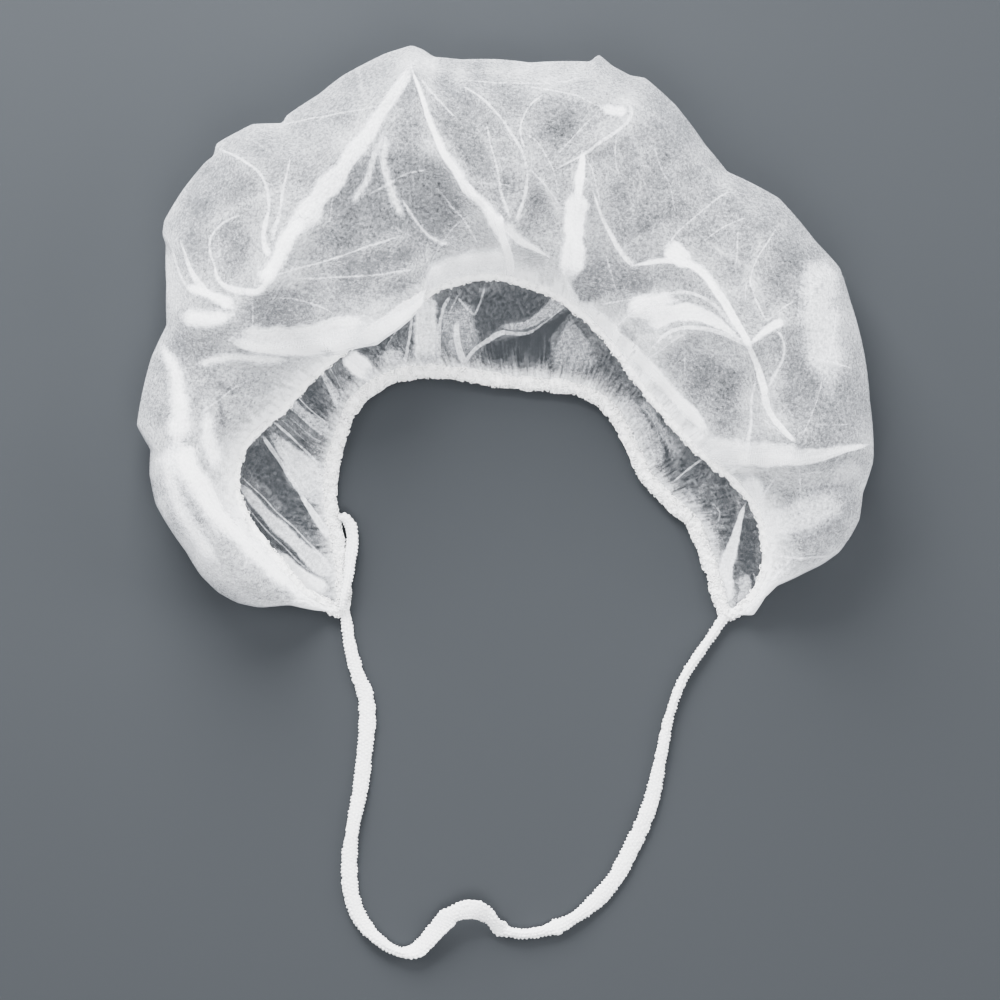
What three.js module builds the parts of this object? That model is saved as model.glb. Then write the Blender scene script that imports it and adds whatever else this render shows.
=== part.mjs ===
// Beard net: a crescent pouch of thin nonwoven cloth, a back sheet on the surface and a puffed front sheet,
// with a knitted elastic band round its mouth, a flat knitted neck strap from corner to corner and the
// folded-back end of that strap.
// Millimetres, +Z up. It lies on its back sheet, the mouth faces -Y and the origin is under its middle.
import * as THREE from "three";

// Driving sizes
const WALL = 1.0; // cloth of the pouch, with its fuzz
const GAP = 0.4; // space kept between neighbouring pieces
const FAN = { x: 7.65, y: -63.75 }; // point that all pouch sections radiate from
const BAND = { halfWidth: 1.9, halfHeight: 1.5, steps: 112, sides: 8 }; // elastic round the mouth
const STRAP = { halfWidth: 2.5, halfHeight: 0.9, steps: 72, sides: 10 }; // flat knitted neck strap
const TAIL = { halfWidth: 1.4, halfHeight: 1.2, steps: 14, sides: 8 }; // folded-back strap end
const POUCH = { stations: 91, backRings: 9, frontRings: 14, lipRise: 0.9 }; // grid, height of the lower lip
const SEAM = { tip: 0.27, middle: 0.37 }; // share of a section at which the front sheet starts
const GATHER = { count: 27, height: 1.5, reach: 13 }; // ruffles along the lips and how far they run in

// One row for each section of the pouch. turn is its direction from the fan point in degrees; lower, upper
// and outer are the distances of the two lips and of the outer edge from there; lip and crest are the
// heights of the upper lip and of the front sheet; hang is how far that sheet droops over the lip.
const SECTIONS = [
  { turn: 196, lower: 58.6, upper: 64.5, outer: 70.5, lip: 3.2, crest: 6, hang: 0 },
  { turn: 192, lower: 57.8, upper: 69.0, outer: 83.0, lip: 6, crest: 14, hang: 0 },
  { turn: 187, lower: 57.5, upper: 73.0, outer: 97.0, lip: 9, crest: 22, hang: 0 },
  { turn: 180, lower: 58.0, upper: 79.5, outer: 105.5, lip: 11, crest: 27, hang: 0 },
  { turn: 171, lower: 60.6, upper: 88.7, outer: 115.3, lip: 12, crest: 29, hang: 0 },
  { turn: 162, lower: 63.4, upper: 91.0, outer: 124.0, lip: 12, crest: 30, hang: 0 },
  { turn: 151, lower: 65.9, upper: 84.7, outer: 126.8, lip: 13, crest: 31, hang: 0 },
  { turn: 141, lower: 67.9, upper: 82.2, outer: 141.0, lip: 15, crest: 38, hang: 2 },
  { turn: 131, lower: 66.1, upper: 80.5, outer: 150.0, lip: 16, crest: 42, hang: 4 },
  { turn: 122, lower: 61.4, upper: 80.1, outer: 149.3, lip: 17, crest: 43, hang: 4 },
  { turn: 113, lower: 56.0, upper: 81.2, outer: 152.0, lip: 18, crest: 44, hang: 1 },
  { turn: 104, lower: 51.4, upper: 81.8, outer: 153.9, lip: 19, crest: 45, hang: 0 },
  { turn: 97, lower: 49.4, upper: 80.6, outer: 147.0, lip: 20, crest: 46, hang: 0 },
  { turn: 89, lower: 48.4, upper: 77.0, outer: 145.2, lip: 20, crest: 46, hang: 0 },
  { turn: 82, lower: 48.5, upper: 73.4, outer: 149.1, lip: 20, crest: 45, hang: 0 },
  { turn: 73, lower: 48.8, upper: 68.0, outer: 141.0, lip: 19, crest: 44, hang: 0 },
  { turn: 63, lower: 48.0, upper: 62.2, outer: 127.0, lip: 18, crest: 42, hang: 0 },
  { turn: 54, lower: 45.4, upper: 58.6, outer: 128.4, lip: 17, crest: 41, hang: 0 },
  { turn: 43, lower: 42.2, upper: 57.0, outer: 124.5, lip: 16, crest: 40, hang: 0 },
  { turn: 31, lower: 40.3, upper: 58.0, outer: 115.5, lip: 15, crest: 38, hang: 0 },
  { turn: 16, lower: 44.3, upper: 65.4, outer: 106.8, lip: 13, crest: 32, hang: 0 },
  { turn: 8, lower: 49.0, upper: 68.7, outer: 100.4, lip: 12, crest: 27, hang: 0 },
  { turn: 0, lower: 51.5, upper: 70.2, outer: 94.0, lip: 10, crest: 22, hang: 0 },
  { turn: -6, lower: 53.9, upper: 70.5, outer: 84.0, lip: 8, crest: 15, hang: 0 },
  { turn: -12, lower: 56.9, upper: 69.0, outer: 76.0, lip: 5, crest: 9, hang: 0 },
  { turn: -16, lower: 59.0, upper: 66.8, outer: 71.8, lip: 3.2, crest: 6, hang: 0 },
];

// One row for each main fold of the front sheet: it runs from start over middle to end, seen from above,
// stands up by rise (a dent is negative) and fades out over width to either side.
const FOLDS = [
  { name: "apex to left", start: [-28, 77], middle: [-46.7, 47], end: [-70.6, 14], rise: 7, width: 6 },
  { name: "apex to lip", start: [-28, 77], middle: [-10.7, 45.8], end: [3, 16], rise: 7, width: 6 },
  { name: "middle arc", start: [-12, 73], middle: [5.9, 57.8], end: [1.4, 35], rise: 5, width: 5 },
  { name: "column", start: [37, 68], middle: [24, 52.4], end: [21, 13], rise: 6, width: 6 },
  { name: "right sweep", start: [28, 43], middle: [48, 20.3], end: [73.4, -3.8], rise: 6, width: 6 },
  { name: "right hook", start: [73.4, -3.8], middle: [79.4, -25], end: [87, -32], rise: 5, width: 6 },
  { name: "right shoulder", start: [78, 26.3], middle: [75, 17], end: [78, 5], rise: 4, width: 6 },
  { name: "right rim", start: [95, 14], middle: [88, 6], end: [82, -2], rise: 4, width: 6 },
  { name: "left ring", start: [-78, 50], middle: [-71, 35], end: [-73, 14], rise: 6, width: 6 },
  { name: "left edge", start: [-98, 26], middle: [-94, 16], end: [-89, 9], rise: 4, width: 6 },
  { name: "left cross", start: [-69, 14], middle: [-46.7, 22.4], end: [-31.7, 26.3], rise: 4, width: 5 },
  { name: "flap roll", start: [-97, 3], middle: [-72, 2], end: [-44, 6], rise: 5, width: 6 },
  { name: "flap dent", start: [-100, -8], middle: [-85, -11], end: [-70, -12], rise: -5, width: 6 },
  { name: "right roll", start: [62, -31], middle: [84, -34], end: [106, -31], rise: 5, width: 6 },
  { name: "right dent", start: [64, -43], middle: [84, -46], end: [103, -43], rise: -5, width: 6 },
  { name: "left lobe", start: [-98, -41], middle: [-86, -58], end: [-68, -77], rise: 4, width: 6 },
  { name: "left hollow", start: [-86, 42], middle: [-85, 32], end: [-86, 22], rise: -6, width: 9 },
  { name: "apex hollow", start: [-36, 52], middle: [-30, 44], end: [-24, 36], rise: -7, width: 10 },
  { name: "right hollow", start: [44, 46], middle: [56, 38], end: [64, 26], rise: -6, width: 10 },
];

// Middle line of the neck strap as it lies, from the left corner round to the right corner.
const STRAP_ROUTE = [
  [-48.2, -85.1, 1.6], [-47.6, -88.5, 1.2], [-46.6, -95, 1], [-44.6, -102.5, 1], [-42.2, -109, 1],
  [-41.6, -116, 1], [-42.2, -124, 1], [-43.7, -137, 1], [-45.8, -148, 1], [-47, -158, 1],
  [-46.4, -169, 1], [-43.6, -176.5, 1], [-38.2, -182.6, 1], [-31.8, -186.2, 1.2], [-27, -185.8, 2],
  [-20.8, -179.6, 3.4], [-15.8, -174.6, 5], [-9.4, -173.2, 5.6], [-5.2, -175.4, 4], [-1.4, -179.2, 2],
  [4.6, -180.8, 1.2], [13, -179.6, 1], [21.4, -175.6, 1], [31.4, -166.4, 1], [38.1, -154.6, 1],
  [43.5, -142, 1], [46.7, -128, 1], [49.4, -115, 1], [53.5, -104, 1], [58.6, -96, 1.1],
  [62.8, -90, 1.4], [64.45, -87.45, 1.6],
];

// Middle line of the folded-back strap end, from the left corner up beside the lower lip.
const TAIL_ROUTE = [
  [-45.3, -80.6, 1.3], [-45, -75, 1.3], [-45, -68, 1.3], [-45.4, -61.5, 1.4], [-47, -57.2, 1.6],
];

// Smooth curve through the given stops that never rises past its rows.
function smoothCurve(stops, values) {
  const widths = stops.slice(1).map((stop, i) => stop - stops[i]);
  const slopes = widths.map((width, i) => (values[i + 1] - values[i]) / width);
  const tangents = stops.map((_, i) => {
    if (i === 0) return slopes[0];
    if (i === slopes.length) return slopes[i - 1];
    const product = slopes[i - 1] * slopes[i];
    return product <= 0 ? 0 : (2 * product) / (slopes[i - 1] + slopes[i]);
  });
  return (x) => {
    let i = 0;
    while (i < widths.length - 1 && x > stops[i + 1]) i += 1;
    const t = THREE.MathUtils.clamp((x - stops[i]) / widths[i], 0, 1);
    const bend = t * t * (3 - 2 * t);
    const leave = t * (1 - t) * (1 - t) * widths[i] * tangents[i];
    const arrive = t * t * (t - 1) * widths[i] * tangents[i + 1];
    return values[i] + bend * (values[i + 1] - values[i]) + leave + arrive;
  };
}

// Each column of the section table as a smooth function of the turn.
const ROWS = [...SECTIONS].sort((a, b) => a.turn - b.turn);
const TURNS = ROWS.map((row) => row.turn);
const COLUMNS = Object.fromEntries(
  Object.keys(ROWS[0]).map((key) => [key, smoothCurve(TURNS, ROWS.map((row) => row[key]))]),
);

function sectionAt(turn) {
  return Object.fromEntries(Object.entries(COLUMNS).map(([key, curve]) => [key, curve(turn)]));
}

function fanPoint(turn, distance, height) {
  const angle = THREE.MathUtils.degToRad(turn);
  return new THREE.Vector3(FAN.x + distance * Math.cos(angle), FAN.y + distance * Math.sin(angle), height);
}

// Room that the band takes up beside a lip: its half width, seen along the section, and the gap.
function bandRoom(column, turn) {
  const step = 0.5;
  const run = THREE.MathUtils.degToRad(2 * step) * column(turn);
  const skew = (column(turn + step) - column(turn - step)) / run;
  return BAND.halfWidth * Math.hypot(1, skew) + GAP;
}

// Outside of one section, from the lower lip along the surface, round the outer edge and back to the upper lip.
function sectionCurve(turn) {
  const { lower, upper, outer, lip, crest, hang } = sectionAt(turn);
  const start = lower + bandRoom(COLUMNS.lower, turn);
  const end = upper + bandRoom(COLUMNS.upper, turn) + 0.15 * hang;
  const floor = outer - start;
  const front = outer - end;
  const droop = Math.min(1, hang / 3);
  const brow = THREE.MathUtils.lerp(end + 0.14 * front, upper - hang, droop);
  const rows = [
    { along: 0, distance: start, height: POUCH.lipRise },
    { along: 0.1, distance: start + 0.22 * floor, height: 0 },
    { along: 0.25, distance: start + 0.55 * floor, height: 0 },
    { along: 0.38, distance: start + 0.85 * floor, height: 0 },
    { along: 0.5, distance: outer, height: 0.34 * crest },
    { along: 0.62, distance: end + 0.86 * front, height: 0.78 * crest },
    { along: 0.76, distance: end + 0.52 * front, height: crest },
    { along: 0.91, distance: brow, height: lip + (0.5 - 0.15 * droop) * (crest - lip) },
    { along: 1, distance: end, height: lip },
  ];
  const stops = rows.map((row) => row.along);
  const distance = smoothCurve(stops, rows.map((row) => row.distance));
  const height = smoothCurve(stops, rows.map((row) => row.height));
  return (along) => fanPoint(turn, distance(along), height(along));
}

// Distance on the plan from a point to the bent line of a fold.
function foldDistance(point, fold) {
  const near = new THREE.Vector3();
  const [start, middle, end] = [fold.start, fold.middle, fold.end].map(([x, y]) => new THREE.Vector3(x, y, 0));
  const flat = new THREE.Vector3(point.x, point.y, 0);
  const legs = [new THREE.Line3(start, middle), new THREE.Line3(middle, end)];
  return Math.min(...legs.map((leg) => leg.closestPointToPoint(flat, true, near).distanceTo(flat)));
}

function foldRise(point) {
  return FOLDS.reduce((sum, fold) => {
    const share = foldDistance(point, fold) / fold.width;
    return sum + fold.rise * Math.exp(-(share ** 1.4));
  }, 0);
}

// Ruffle of the gathered cloth: strongest a little way in from a lip, gone past the reach.
function gatherRise(across, lipDistance) {
  const wave = Math.sin(2 * Math.PI * (GATHER.count * across + 0.35 * Math.sin(2 * Math.PI * 5 * across)));
  const share = lipDistance / GATHER.reach;
  return GATHER.height * wave * 3 * share * Math.exp(-3 * share * share);
}

function stationTurn(across) {
  const [first, last] = [SECTIONS[0].turn, SECTIONS[SECTIONS.length - 1].turn];
  return first + (last - first) * across;
}

// Where the rings of a section lie along it: those of the back sheet, a gap, and those of the front sheet.
function ringStops(curve, fullness) {
  const step = 0.001;
  const seam = THREE.MathUtils.lerp(SEAM.tip, SEAM.middle, fullness);
  const room = GAP * (step / curve(seam).distanceTo(curve(seam - step)));
  const spread = (from, to, count) =>
    Array.from({ length: count }, (_, k) => THREE.MathUtils.lerp(from, to, k / (count - 1)));
  return [...spread(0, seam - room, POUCH.backRings), ...spread(seam, 1, POUCH.frontRings)];
}

// Outside of the cloth as a grid of points, folded and gathered; what lies on the surface stays flat.
function outerSkin() {
  const skin = [];
  for (let i = 0; i < POUCH.stations; i += 1) {
    const across = i / (POUCH.stations - 1);
    const turn = stationTurn(across);
    const curve = sectionCurve(turn);
    const tip = Math.sin(Math.PI * across) ** 0.4;
    const upperLip = curve(1);
    const lowerLip = curve(0);
    const row = [];
    for (const along of ringStops(curve, tip)) {
      const point = curve(along);
      const front = THREE.MathUtils.smoothstep(along, 0.5, 0.64);
      const nearLip = 1 - THREE.MathUtils.smoothstep(along, 0.9, 1);
      point.z += front * nearLip * tip * foldRise(point);
      point.z += front * tip * gatherRise(across, point.distanceTo(upperLip));
      const ruffle = gatherRise(across, point.distanceTo(lowerLip));
      point.z += along < 0.3 ? tip * Math.max(0, ruffle) : 0;
      row.push(point);
    }
    skin.push(row);
  }
  return skin;
}

// Inside of the cloth: each point of the outside moved in by the wall, square to the sheet, and straight up
// where the sheet lies on the surface.
function innerSkin(skin) {
  const last = (list) => list.length - 1;
  return skin.map((row, i) =>
    row.map((point, j) => {
      const before = skin[Math.max(i - 1, 0)][j];
      const after = skin[Math.min(i + 1, last(skin))][j];
      const toward = new THREE.Vector3().subVectors(after, before);
      const around = new THREE.Vector3().subVectors(row[Math.min(j + 1, last(row))], row[Math.max(j - 1, 0)]);
      const outward = new THREE.Vector3(0, 0, -1);
      if (point.z > 0.01) outward.crossVectors(around, toward).normalize();
      return point.clone().addScaledVector(outward, -WALL);
    }),
  );
}

// Two grids of points joined round their edges into one closed sheet with thickness.
function closedSheet(outside, inside) {
  const rows = outside.length;
  const columns = outside[0].length;
  const points = [...outside.flat(), ...inside.flat()];
  const at = (side, i, j) => side * rows * columns + i * columns + j;
  const index = [];
  const quad = (a, b, c, d) => index.push(a, b, c, a, c, d);
  for (let i = 0; i + 1 < rows; i += 1) {
    for (let j = 0; j + 1 < columns; j += 1) {
      quad(at(0, i, j), at(0, i, j + 1), at(0, i + 1, j + 1), at(0, i + 1, j));
      quad(at(1, i, j), at(1, i + 1, j), at(1, i + 1, j + 1), at(1, i, j + 1));
    }
    quad(at(0, i, 0), at(0, i + 1, 0), at(1, i + 1, 0), at(1, i, 0));
    quad(at(0, i, columns - 1), at(1, i, columns - 1), at(1, i + 1, columns - 1), at(0, i + 1, columns - 1));
  }
  for (let j = 0; j + 1 < columns; j += 1) {
    quad(at(0, 0, j), at(1, 0, j), at(1, 0, j + 1), at(0, 0, j + 1));
    quad(at(0, rows - 1, j), at(0, rows - 1, j + 1), at(1, rows - 1, j + 1), at(1, rows - 1, j));
  }
  return new THREE.BufferGeometry().setFromPoints(points).setIndex(index);
}

// Closed path of the elastic: along the lower lip, round the right corner and back along the upper lip.
function bandPath() {
  const turns = TURNS.slice().reverse();
  const lower = turns.map((turn) => fanPoint(turn, COLUMNS.lower(turn), BAND.halfHeight));
  const upper = TURNS.map((turn) => fanPoint(turn, COLUMNS.upper(turn), COLUMNS.lip(turn) - 0.5));
  const [leftTurn, rightTurn] = [turns[0], TURNS[0]];
  const left = fanPoint(leftTurn + 3.0, COLUMNS.lower(leftTurn) + 2.9, BAND.halfHeight + 0.4);
  const right = fanPoint(rightTurn - 3.4, COLUMNS.lower(rightTurn) + 3.7, BAND.halfHeight + 0.4);
  return new THREE.CatmullRomCurve3([...lower, right, ...upper, left], true, "centripetal");
}

// Rounded section carried round a closed path, flat side down.
function closedBand(path, { halfWidth, halfHeight, steps, sides }) {
  const up = new THREE.Vector3(0, 0, 1);
  const points = [];
  const index = [];
  for (let i = 0; i < steps; i += 1) {
    const middle = path.getPointAt(i / steps);
    const tangent = path.getTangentAt(i / steps);
    const side = new THREE.Vector3().crossVectors(tangent, up).normalize();
    const rise = new THREE.Vector3().crossVectors(side, tangent);
    for (let k = 0; k < sides; k += 1) {
      const angle = (2 * Math.PI * (k + 0.5)) / sides;
      const point = middle.clone().addScaledVector(side, halfWidth * Math.cos(angle));
      points.push(point.addScaledVector(rise, halfHeight * Math.sin(angle)));
      const [a, b] = [i * sides + k, i * sides + ((k + 1) % sides)];
      const [c, d] = [((i + 1) % steps) * sides + k, ((i + 1) % steps) * sides + ((k + 1) % sides)];
      index.push(a, d, b, a, c, d);
    }
  }
  return new THREE.BufferGeometry().setFromPoints(points).setIndex(index);
}

// Flat knitted strap laid along a route, thin way up.
function strapAlong(route, { halfWidth, halfHeight, steps, sides }) {
  const path = new THREE.CatmullRomCurve3(route.map((point) => new THREE.Vector3(...point)), false, "centripetal");
  const outline = new THREE.Shape();
  outline.absellipse(0, 0, halfHeight, halfWidth, 0, 2 * Math.PI, false, 0);
  return new THREE.ExtrudeGeometry(outline, {
    steps,
    curveSegments: sides / 2,
    bevelEnabled: false,
    extrudePath: path,
  });
}

function namedMesh(name, geometry, material) {
  const mesh = new THREE.Mesh(geometry, material);
  mesh.name = name;
  return mesh;
}

const cloth = new THREE.MeshStandardMaterial({ color: 0xf1f1f3, roughness: 0.9 });
const elastic = new THREE.MeshStandardMaterial({ color: 0xf6f6f6, roughness: 0.95 });

const outside = outerSkin();
const inside = innerSkin(outside);
const backOf = (skin) => skin.map((row) => row.slice(0, POUCH.backRings));
const frontOf = (skin) => skin.map((row) => row.slice(POUCH.backRings));
const beardNet = new THREE.Group();
beardNet.add(
  namedMesh("net_back", closedSheet(backOf(outside), backOf(inside)), cloth),
  namedMesh("net_front", closedSheet(frontOf(outside), frontOf(inside)), cloth),
  namedMesh("mouth_elastic", closedBand(bandPath(), BAND), elastic),
  namedMesh("neck_strap", strapAlong(STRAP_ROUTE, STRAP), elastic),
  namedMesh("strap_tail", strapAlong(TAIL_ROUTE, TAIL), elastic),
);

export default beardNet;
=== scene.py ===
# %% [markdown]
# # Beard net: a lesson in thin white cloth
#
# A beard net is a pouch of spunbond nonwoven, a paper-like cloth of loose white fibres that lets the
# table show through. A knitted elastic gathers the cloth round the mouth, and a flat knitted strap
# loops from one corner to the other. The net lies on a table with its mouth towards us.
#
# Three looks have to work together here:
#
# 1. cloth so thin that one layer is almost a shadow, and a fold of three layers is plain white,
# 2. soft knit, which only shows as rows of tiny stitches and loops,
# 3. the creases, because a net is packed flat and keeps every fold of its packet.
#
# Every surface is worked out as a grid of points with numpy, from short tables of sizes in millimetres.

import bpy
import numpy as np
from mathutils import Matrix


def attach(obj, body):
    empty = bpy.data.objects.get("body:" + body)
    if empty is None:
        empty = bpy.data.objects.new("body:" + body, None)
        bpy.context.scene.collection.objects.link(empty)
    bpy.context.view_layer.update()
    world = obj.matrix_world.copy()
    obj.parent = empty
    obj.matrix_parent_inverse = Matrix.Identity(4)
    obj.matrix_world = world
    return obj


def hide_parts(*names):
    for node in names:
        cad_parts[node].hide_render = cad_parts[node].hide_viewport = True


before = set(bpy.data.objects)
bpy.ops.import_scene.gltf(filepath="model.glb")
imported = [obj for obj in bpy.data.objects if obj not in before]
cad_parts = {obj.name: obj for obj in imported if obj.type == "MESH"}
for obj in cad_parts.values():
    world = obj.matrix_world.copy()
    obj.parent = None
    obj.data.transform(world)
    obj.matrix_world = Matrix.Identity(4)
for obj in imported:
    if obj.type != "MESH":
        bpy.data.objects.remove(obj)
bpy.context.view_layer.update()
MM = 0.001
chance = np.random.default_rng(7)
print("CAD nodes:", sorted(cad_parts))

# %% [markdown]
# ## Camera
#
# The net is looked at from straight above. A long lens keeps the tall front sheet from leaning outwards
# in the picture, the way a product photographer would step back from the table. The frame is 300 mm wide
# a little above the table.

# %% Camera straight above the table
LENS = 200.0
SENSOR = 36.0
FRAME_WIDTH = 300.0
FRAME_PLANE = 7.0
AIM = np.array([-1.65, -50.25])

eye_height = FRAME_PLANE + FRAME_WIDTH * LENS / SENSOR
camera_data = bpy.data.cameras.new("camera")
camera_data.lens = LENS
camera_data.sensor_width = SENSOR
camera_data.clip_end = 10
camera = bpy.data.objects.new("camera", camera_data)
camera.location = (AIM[0] * MM, AIM[1] * MM, eye_height * MM)
bpy.context.collection.objects.link(camera)
bpy.context.scene.camera = camera


def as_seen(points):
    """Where points appear to the camera, on the plane in which the frame is 300 mm wide.

    A point above that plane looks further from the middle of the picture, by the ratio of the
    eye's height over the plane to its height over the point.
    """
    reach = (eye_height - FRAME_PLANE) / (eye_height - points[..., 2])
    return AIM + (points[..., :2] - AIM) * reach[..., None]


print(f"Camera {eye_height:.0f} mm above the table")

# %% [markdown]
# ## Small tools
#
# Cloth is drawn here with a few tools. `smooth_curve` joins the rows of a table without overshooting them,
# so a lip never bulges between two rows. `spline` lays an even path through points. `wobble` is a soft
# random swell. `tube` sweeps a flat oval along a path, and `grid_mesh` turns any grid of points, or a whole
# stack of grids, into a mesh with per-point marks that the materials read. `settle` ties a piece to the
# part's only body, on which every piece rides, and hides the CAD node that it stands for.


# %% Curves and noise
def smoothstep(value, low, high):
    """0 below low, 1 above high and an S-curve between them."""
    share = np.clip((value - low) / (high - low), 0, 1)
    return share * share * (3 - 2 * share)


def smooth_curve(stops, values, at):
    """Cubic through the rows of values, one row a stop, that never overshoots a row.

    The slope at a stop is the harmonic mean of the slopes on its two sides, and zero at a high or
    low point.
    """
    widths = np.diff(stops)[:, None]
    slopes = np.diff(values, axis=0) / widths
    before, after = slopes[:-1], slopes[1:]
    same_way = before * after > 0
    inner = np.where(same_way, 2 * before * after / np.where(same_way, before + after, 1), 0)
    tangents = np.vstack([slopes[:1], inner, slopes[-1:]])
    i = np.clip(np.searchsorted(stops, at, side="right") - 1, 0, len(stops) - 2)
    width = widths[i]
    t = np.clip((at - stops[i])[:, None] / width, 0, 1)
    blend = t * t * (3 - 2 * t)
    eased = t * (1 - t) ** 2 * tangents[i] - t * t * (1 - t) * tangents[i + 1]
    return values[i] + blend * (values[i + 1] - values[i]) + width * eased


def spline(points, count, closed=False):
    """count points at even steps along a centripetal Catmull-Rom curve through the given ones."""
    points = np.asarray(points, float)
    if closed:
        points = np.vstack([points[-1:], points, points[:2]])
    else:
        points = np.vstack([2 * points[0] - points[1], points, 2 * points[-1] - points[-2]])
    p0, p1, p2, p3 = (points[k : len(points) - 3 + k] for k in range(4))
    step = np.sqrt(np.linalg.norm(np.diff(points, axis=0), axis=1))[:, None]
    a, b, c = step[:-2], step[1:-1], step[2:]
    leave = ((p1 - p0) / a - (p2 - p0) / (a + b) + (p2 - p1) / b) * b
    arrive = ((p2 - p1) / b - (p3 - p1) / (b + c) + (p3 - p2) / c) * b
    t = np.linspace(0, 1, 60, endpoint=False)[:, None, None]
    path = p1 * (1 + 2 * t) * (1 - t) ** 2 + leave * t * (1 - t) ** 2
    path = path + p2 * t * t * (3 - 2 * t) - arrive * t * t * (1 - t)
    path = np.vstack([np.swapaxes(path, 0, 1).reshape(-1, 3), p2[-1:]])
    gone = np.concatenate([[0], np.cumsum(np.linalg.norm(np.diff(path, axis=0), axis=1))])
    even = np.linspace(0, gone[-1], count, endpoint=not closed)
    return np.stack([np.interp(even, gone, axis) for axis in path.T], axis=1)


def wobble(places, size, waves=20):
    """Soft random swell, mostly from -1 to 1: waves about size long that run in random directions."""
    turn = chance.uniform(0, 2 * np.pi, waves)
    speed = 2 * np.pi / (size * chance.uniform(0.7, 1.5, waves))
    phase = places[..., :1] * np.cos(turn) + places[..., 1:2] * np.sin(turn)
    return np.sin(phase * speed + chance.uniform(0, 6.3, waves)).mean(axis=-1) * np.sqrt(waves) * 0.8


def unit(vectors):
    """The vectors at length one."""
    return vectors / np.linalg.norm(vectors, axis=-1, keepdims=True)


print("smoothstep at 0, 1/4, 1/2 and 1:", smoothstep(np.array([0, 0.25, 0.5, 1]), 0, 1))


# %% Grids to meshes
def grid_mesh(name, points, marks, wrap=(False, False), uv=None):
    """Object from grids of points in millimetres, one smooth face for each square of four points.

    points is one grid of rows and columns, or a stack of grids. A wrapped direction joins its last line
    of points to its first. marks are numbers for each point, and uv places each point on the flat cloth.
    """
    number = np.arange(points[..., 0].size).reshape(points.shape[:-1])
    number = np.concatenate([number, number[..., :1, :]], axis=-2) if wrap[0] else number
    number = np.concatenate([number, number[..., :1]], axis=-1) if wrap[1] else number
    ring = [number[..., :-1, :-1], number[..., 1:, :-1], number[..., 1:, 1:], number[..., :-1, 1:]]
    corners = np.stack(ring, axis=-1).ravel().astype(np.int32)
    mesh = bpy.data.meshes.new(name)
    mesh.vertices.add(points[..., 0].size)
    mesh.vertices.foreach_set("co", (points * MM).ravel().astype(np.float32))
    mesh.loops.add(len(corners))
    mesh.loops.foreach_set("vertex_index", corners)
    mesh.polygons.add(len(corners) // 4)
    mesh.polygons.foreach_set("loop_start", np.arange(0, len(corners), 4, dtype=np.int32))
    mesh.polygons.foreach_set("use_smooth", np.ones(len(corners) // 4, bool))
    mesh.update(calc_edges=True)
    for mark, values in marks.items():
        layer = mesh.attributes.new(mark, "FLOAT", "POINT")
        layer.data.foreach_set("value", np.ascontiguousarray(values, np.float32).ravel())
    if uv is not None:
        layer = mesh.uv_layers.new(name="cloth")
        layer.data.foreach_set("uv", uv.reshape(-1, 2)[corners].ravel().astype(np.float32))
    piece = bpy.data.objects.new(name, mesh)
    bpy.context.collection.objects.link(piece)
    print(f"{name}: {len(corners) // 2} triangles")
    return piece


def settle(piece, node=None):
    """Ties a piece to the body, and hides the CAD node that it stands for, if one is given."""
    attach(piece, "root")
    if node:
        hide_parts(node)


def press_normals(piece, share):
    """Gives a sheet the normals that it would have if it were pressed down to a share of its height.

    Where the sheet overhangs, its normals stay as they are, or it would look lit from below alone.
    """
    normals = np.empty(3 * len(piece.data.vertices))
    piece.data.vertex_normals.foreach_get("vector", normals)
    normals = normals.reshape(-1, 3)
    upward = normals[:, 2] * np.sign(normals[:, 2].sum())
    level = 1 - (1 - share) * smoothstep(upward, -0.1, 0.3)
    pressed = normals * np.column_stack([level, level, np.ones_like(level)])
    piece.data.normals_split_custom_set_from_vertices(unit(pressed))


def cross_frame(path, roll):
    """Directions along a path, across it and up from it, the last two rolled about the path."""
    ahead = unit(np.gradient(path, axis=0))
    level = unit(np.cross(ahead, [0, 0, 1]))
    upright = np.cross(level, ahead)
    tilt, lean = np.cos(roll)[:, None], np.sin(roll)[:, None]
    return ahead, level * tilt + upright * lean, upright * tilt - level * lean


def tube(path, half_width, half_height, roll, bumps):
    """Grid of points on a flat oval swept along a path.

    The oval's wide side lies level and is rolled about the path by roll; bumps says how far each point
    stands out from the oval, in millimetres.
    """
    _, wide, tall = cross_frame(path, roll)
    angle = np.linspace(0, 2 * np.pi, bumps.shape[1], endpoint=False)
    x, y = half_width[:, None] * np.cos(angle), half_height[:, None] * np.sin(angle)
    out_x, out_y = np.cos(angle) / half_width[:, None], np.sin(angle) / half_height[:, None]
    push = bumps / np.hypot(out_x, out_y)
    x, y = x + push * out_x, y + push * out_y
    return path[:, None] + x[..., None] * wide[:, None] + y[..., None] * tall[:, None]


trial_path = np.array([[0.0, 0, 1], [5, 0, 1], [10, 0, 1]])
trial = tube(trial_path, np.full(3, 2.5), np.ones(3), np.zeros(3), np.zeros((3, 8)))
trial_size = np.ptp(trial.reshape(-1, 3), axis=0)
print("A trial tube, length, width and height in mm:", trial_size.tolist())


# %% [markdown]
# ## Neck strap
#
# The strap is a flat warp-knitted elastic about 5 mm wide. It could be a plain band with a bumpy texture,
# but the light catches each stitch, so the stitches are shaped here: columns of small V shapes, a bit
# over a millimetre apart. The strap lies loose on the table, turns half on edge in its bends, buckles
# where it is bent hardest and springs off the table at the near end. Its two ends run in under the
# elastic.

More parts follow.
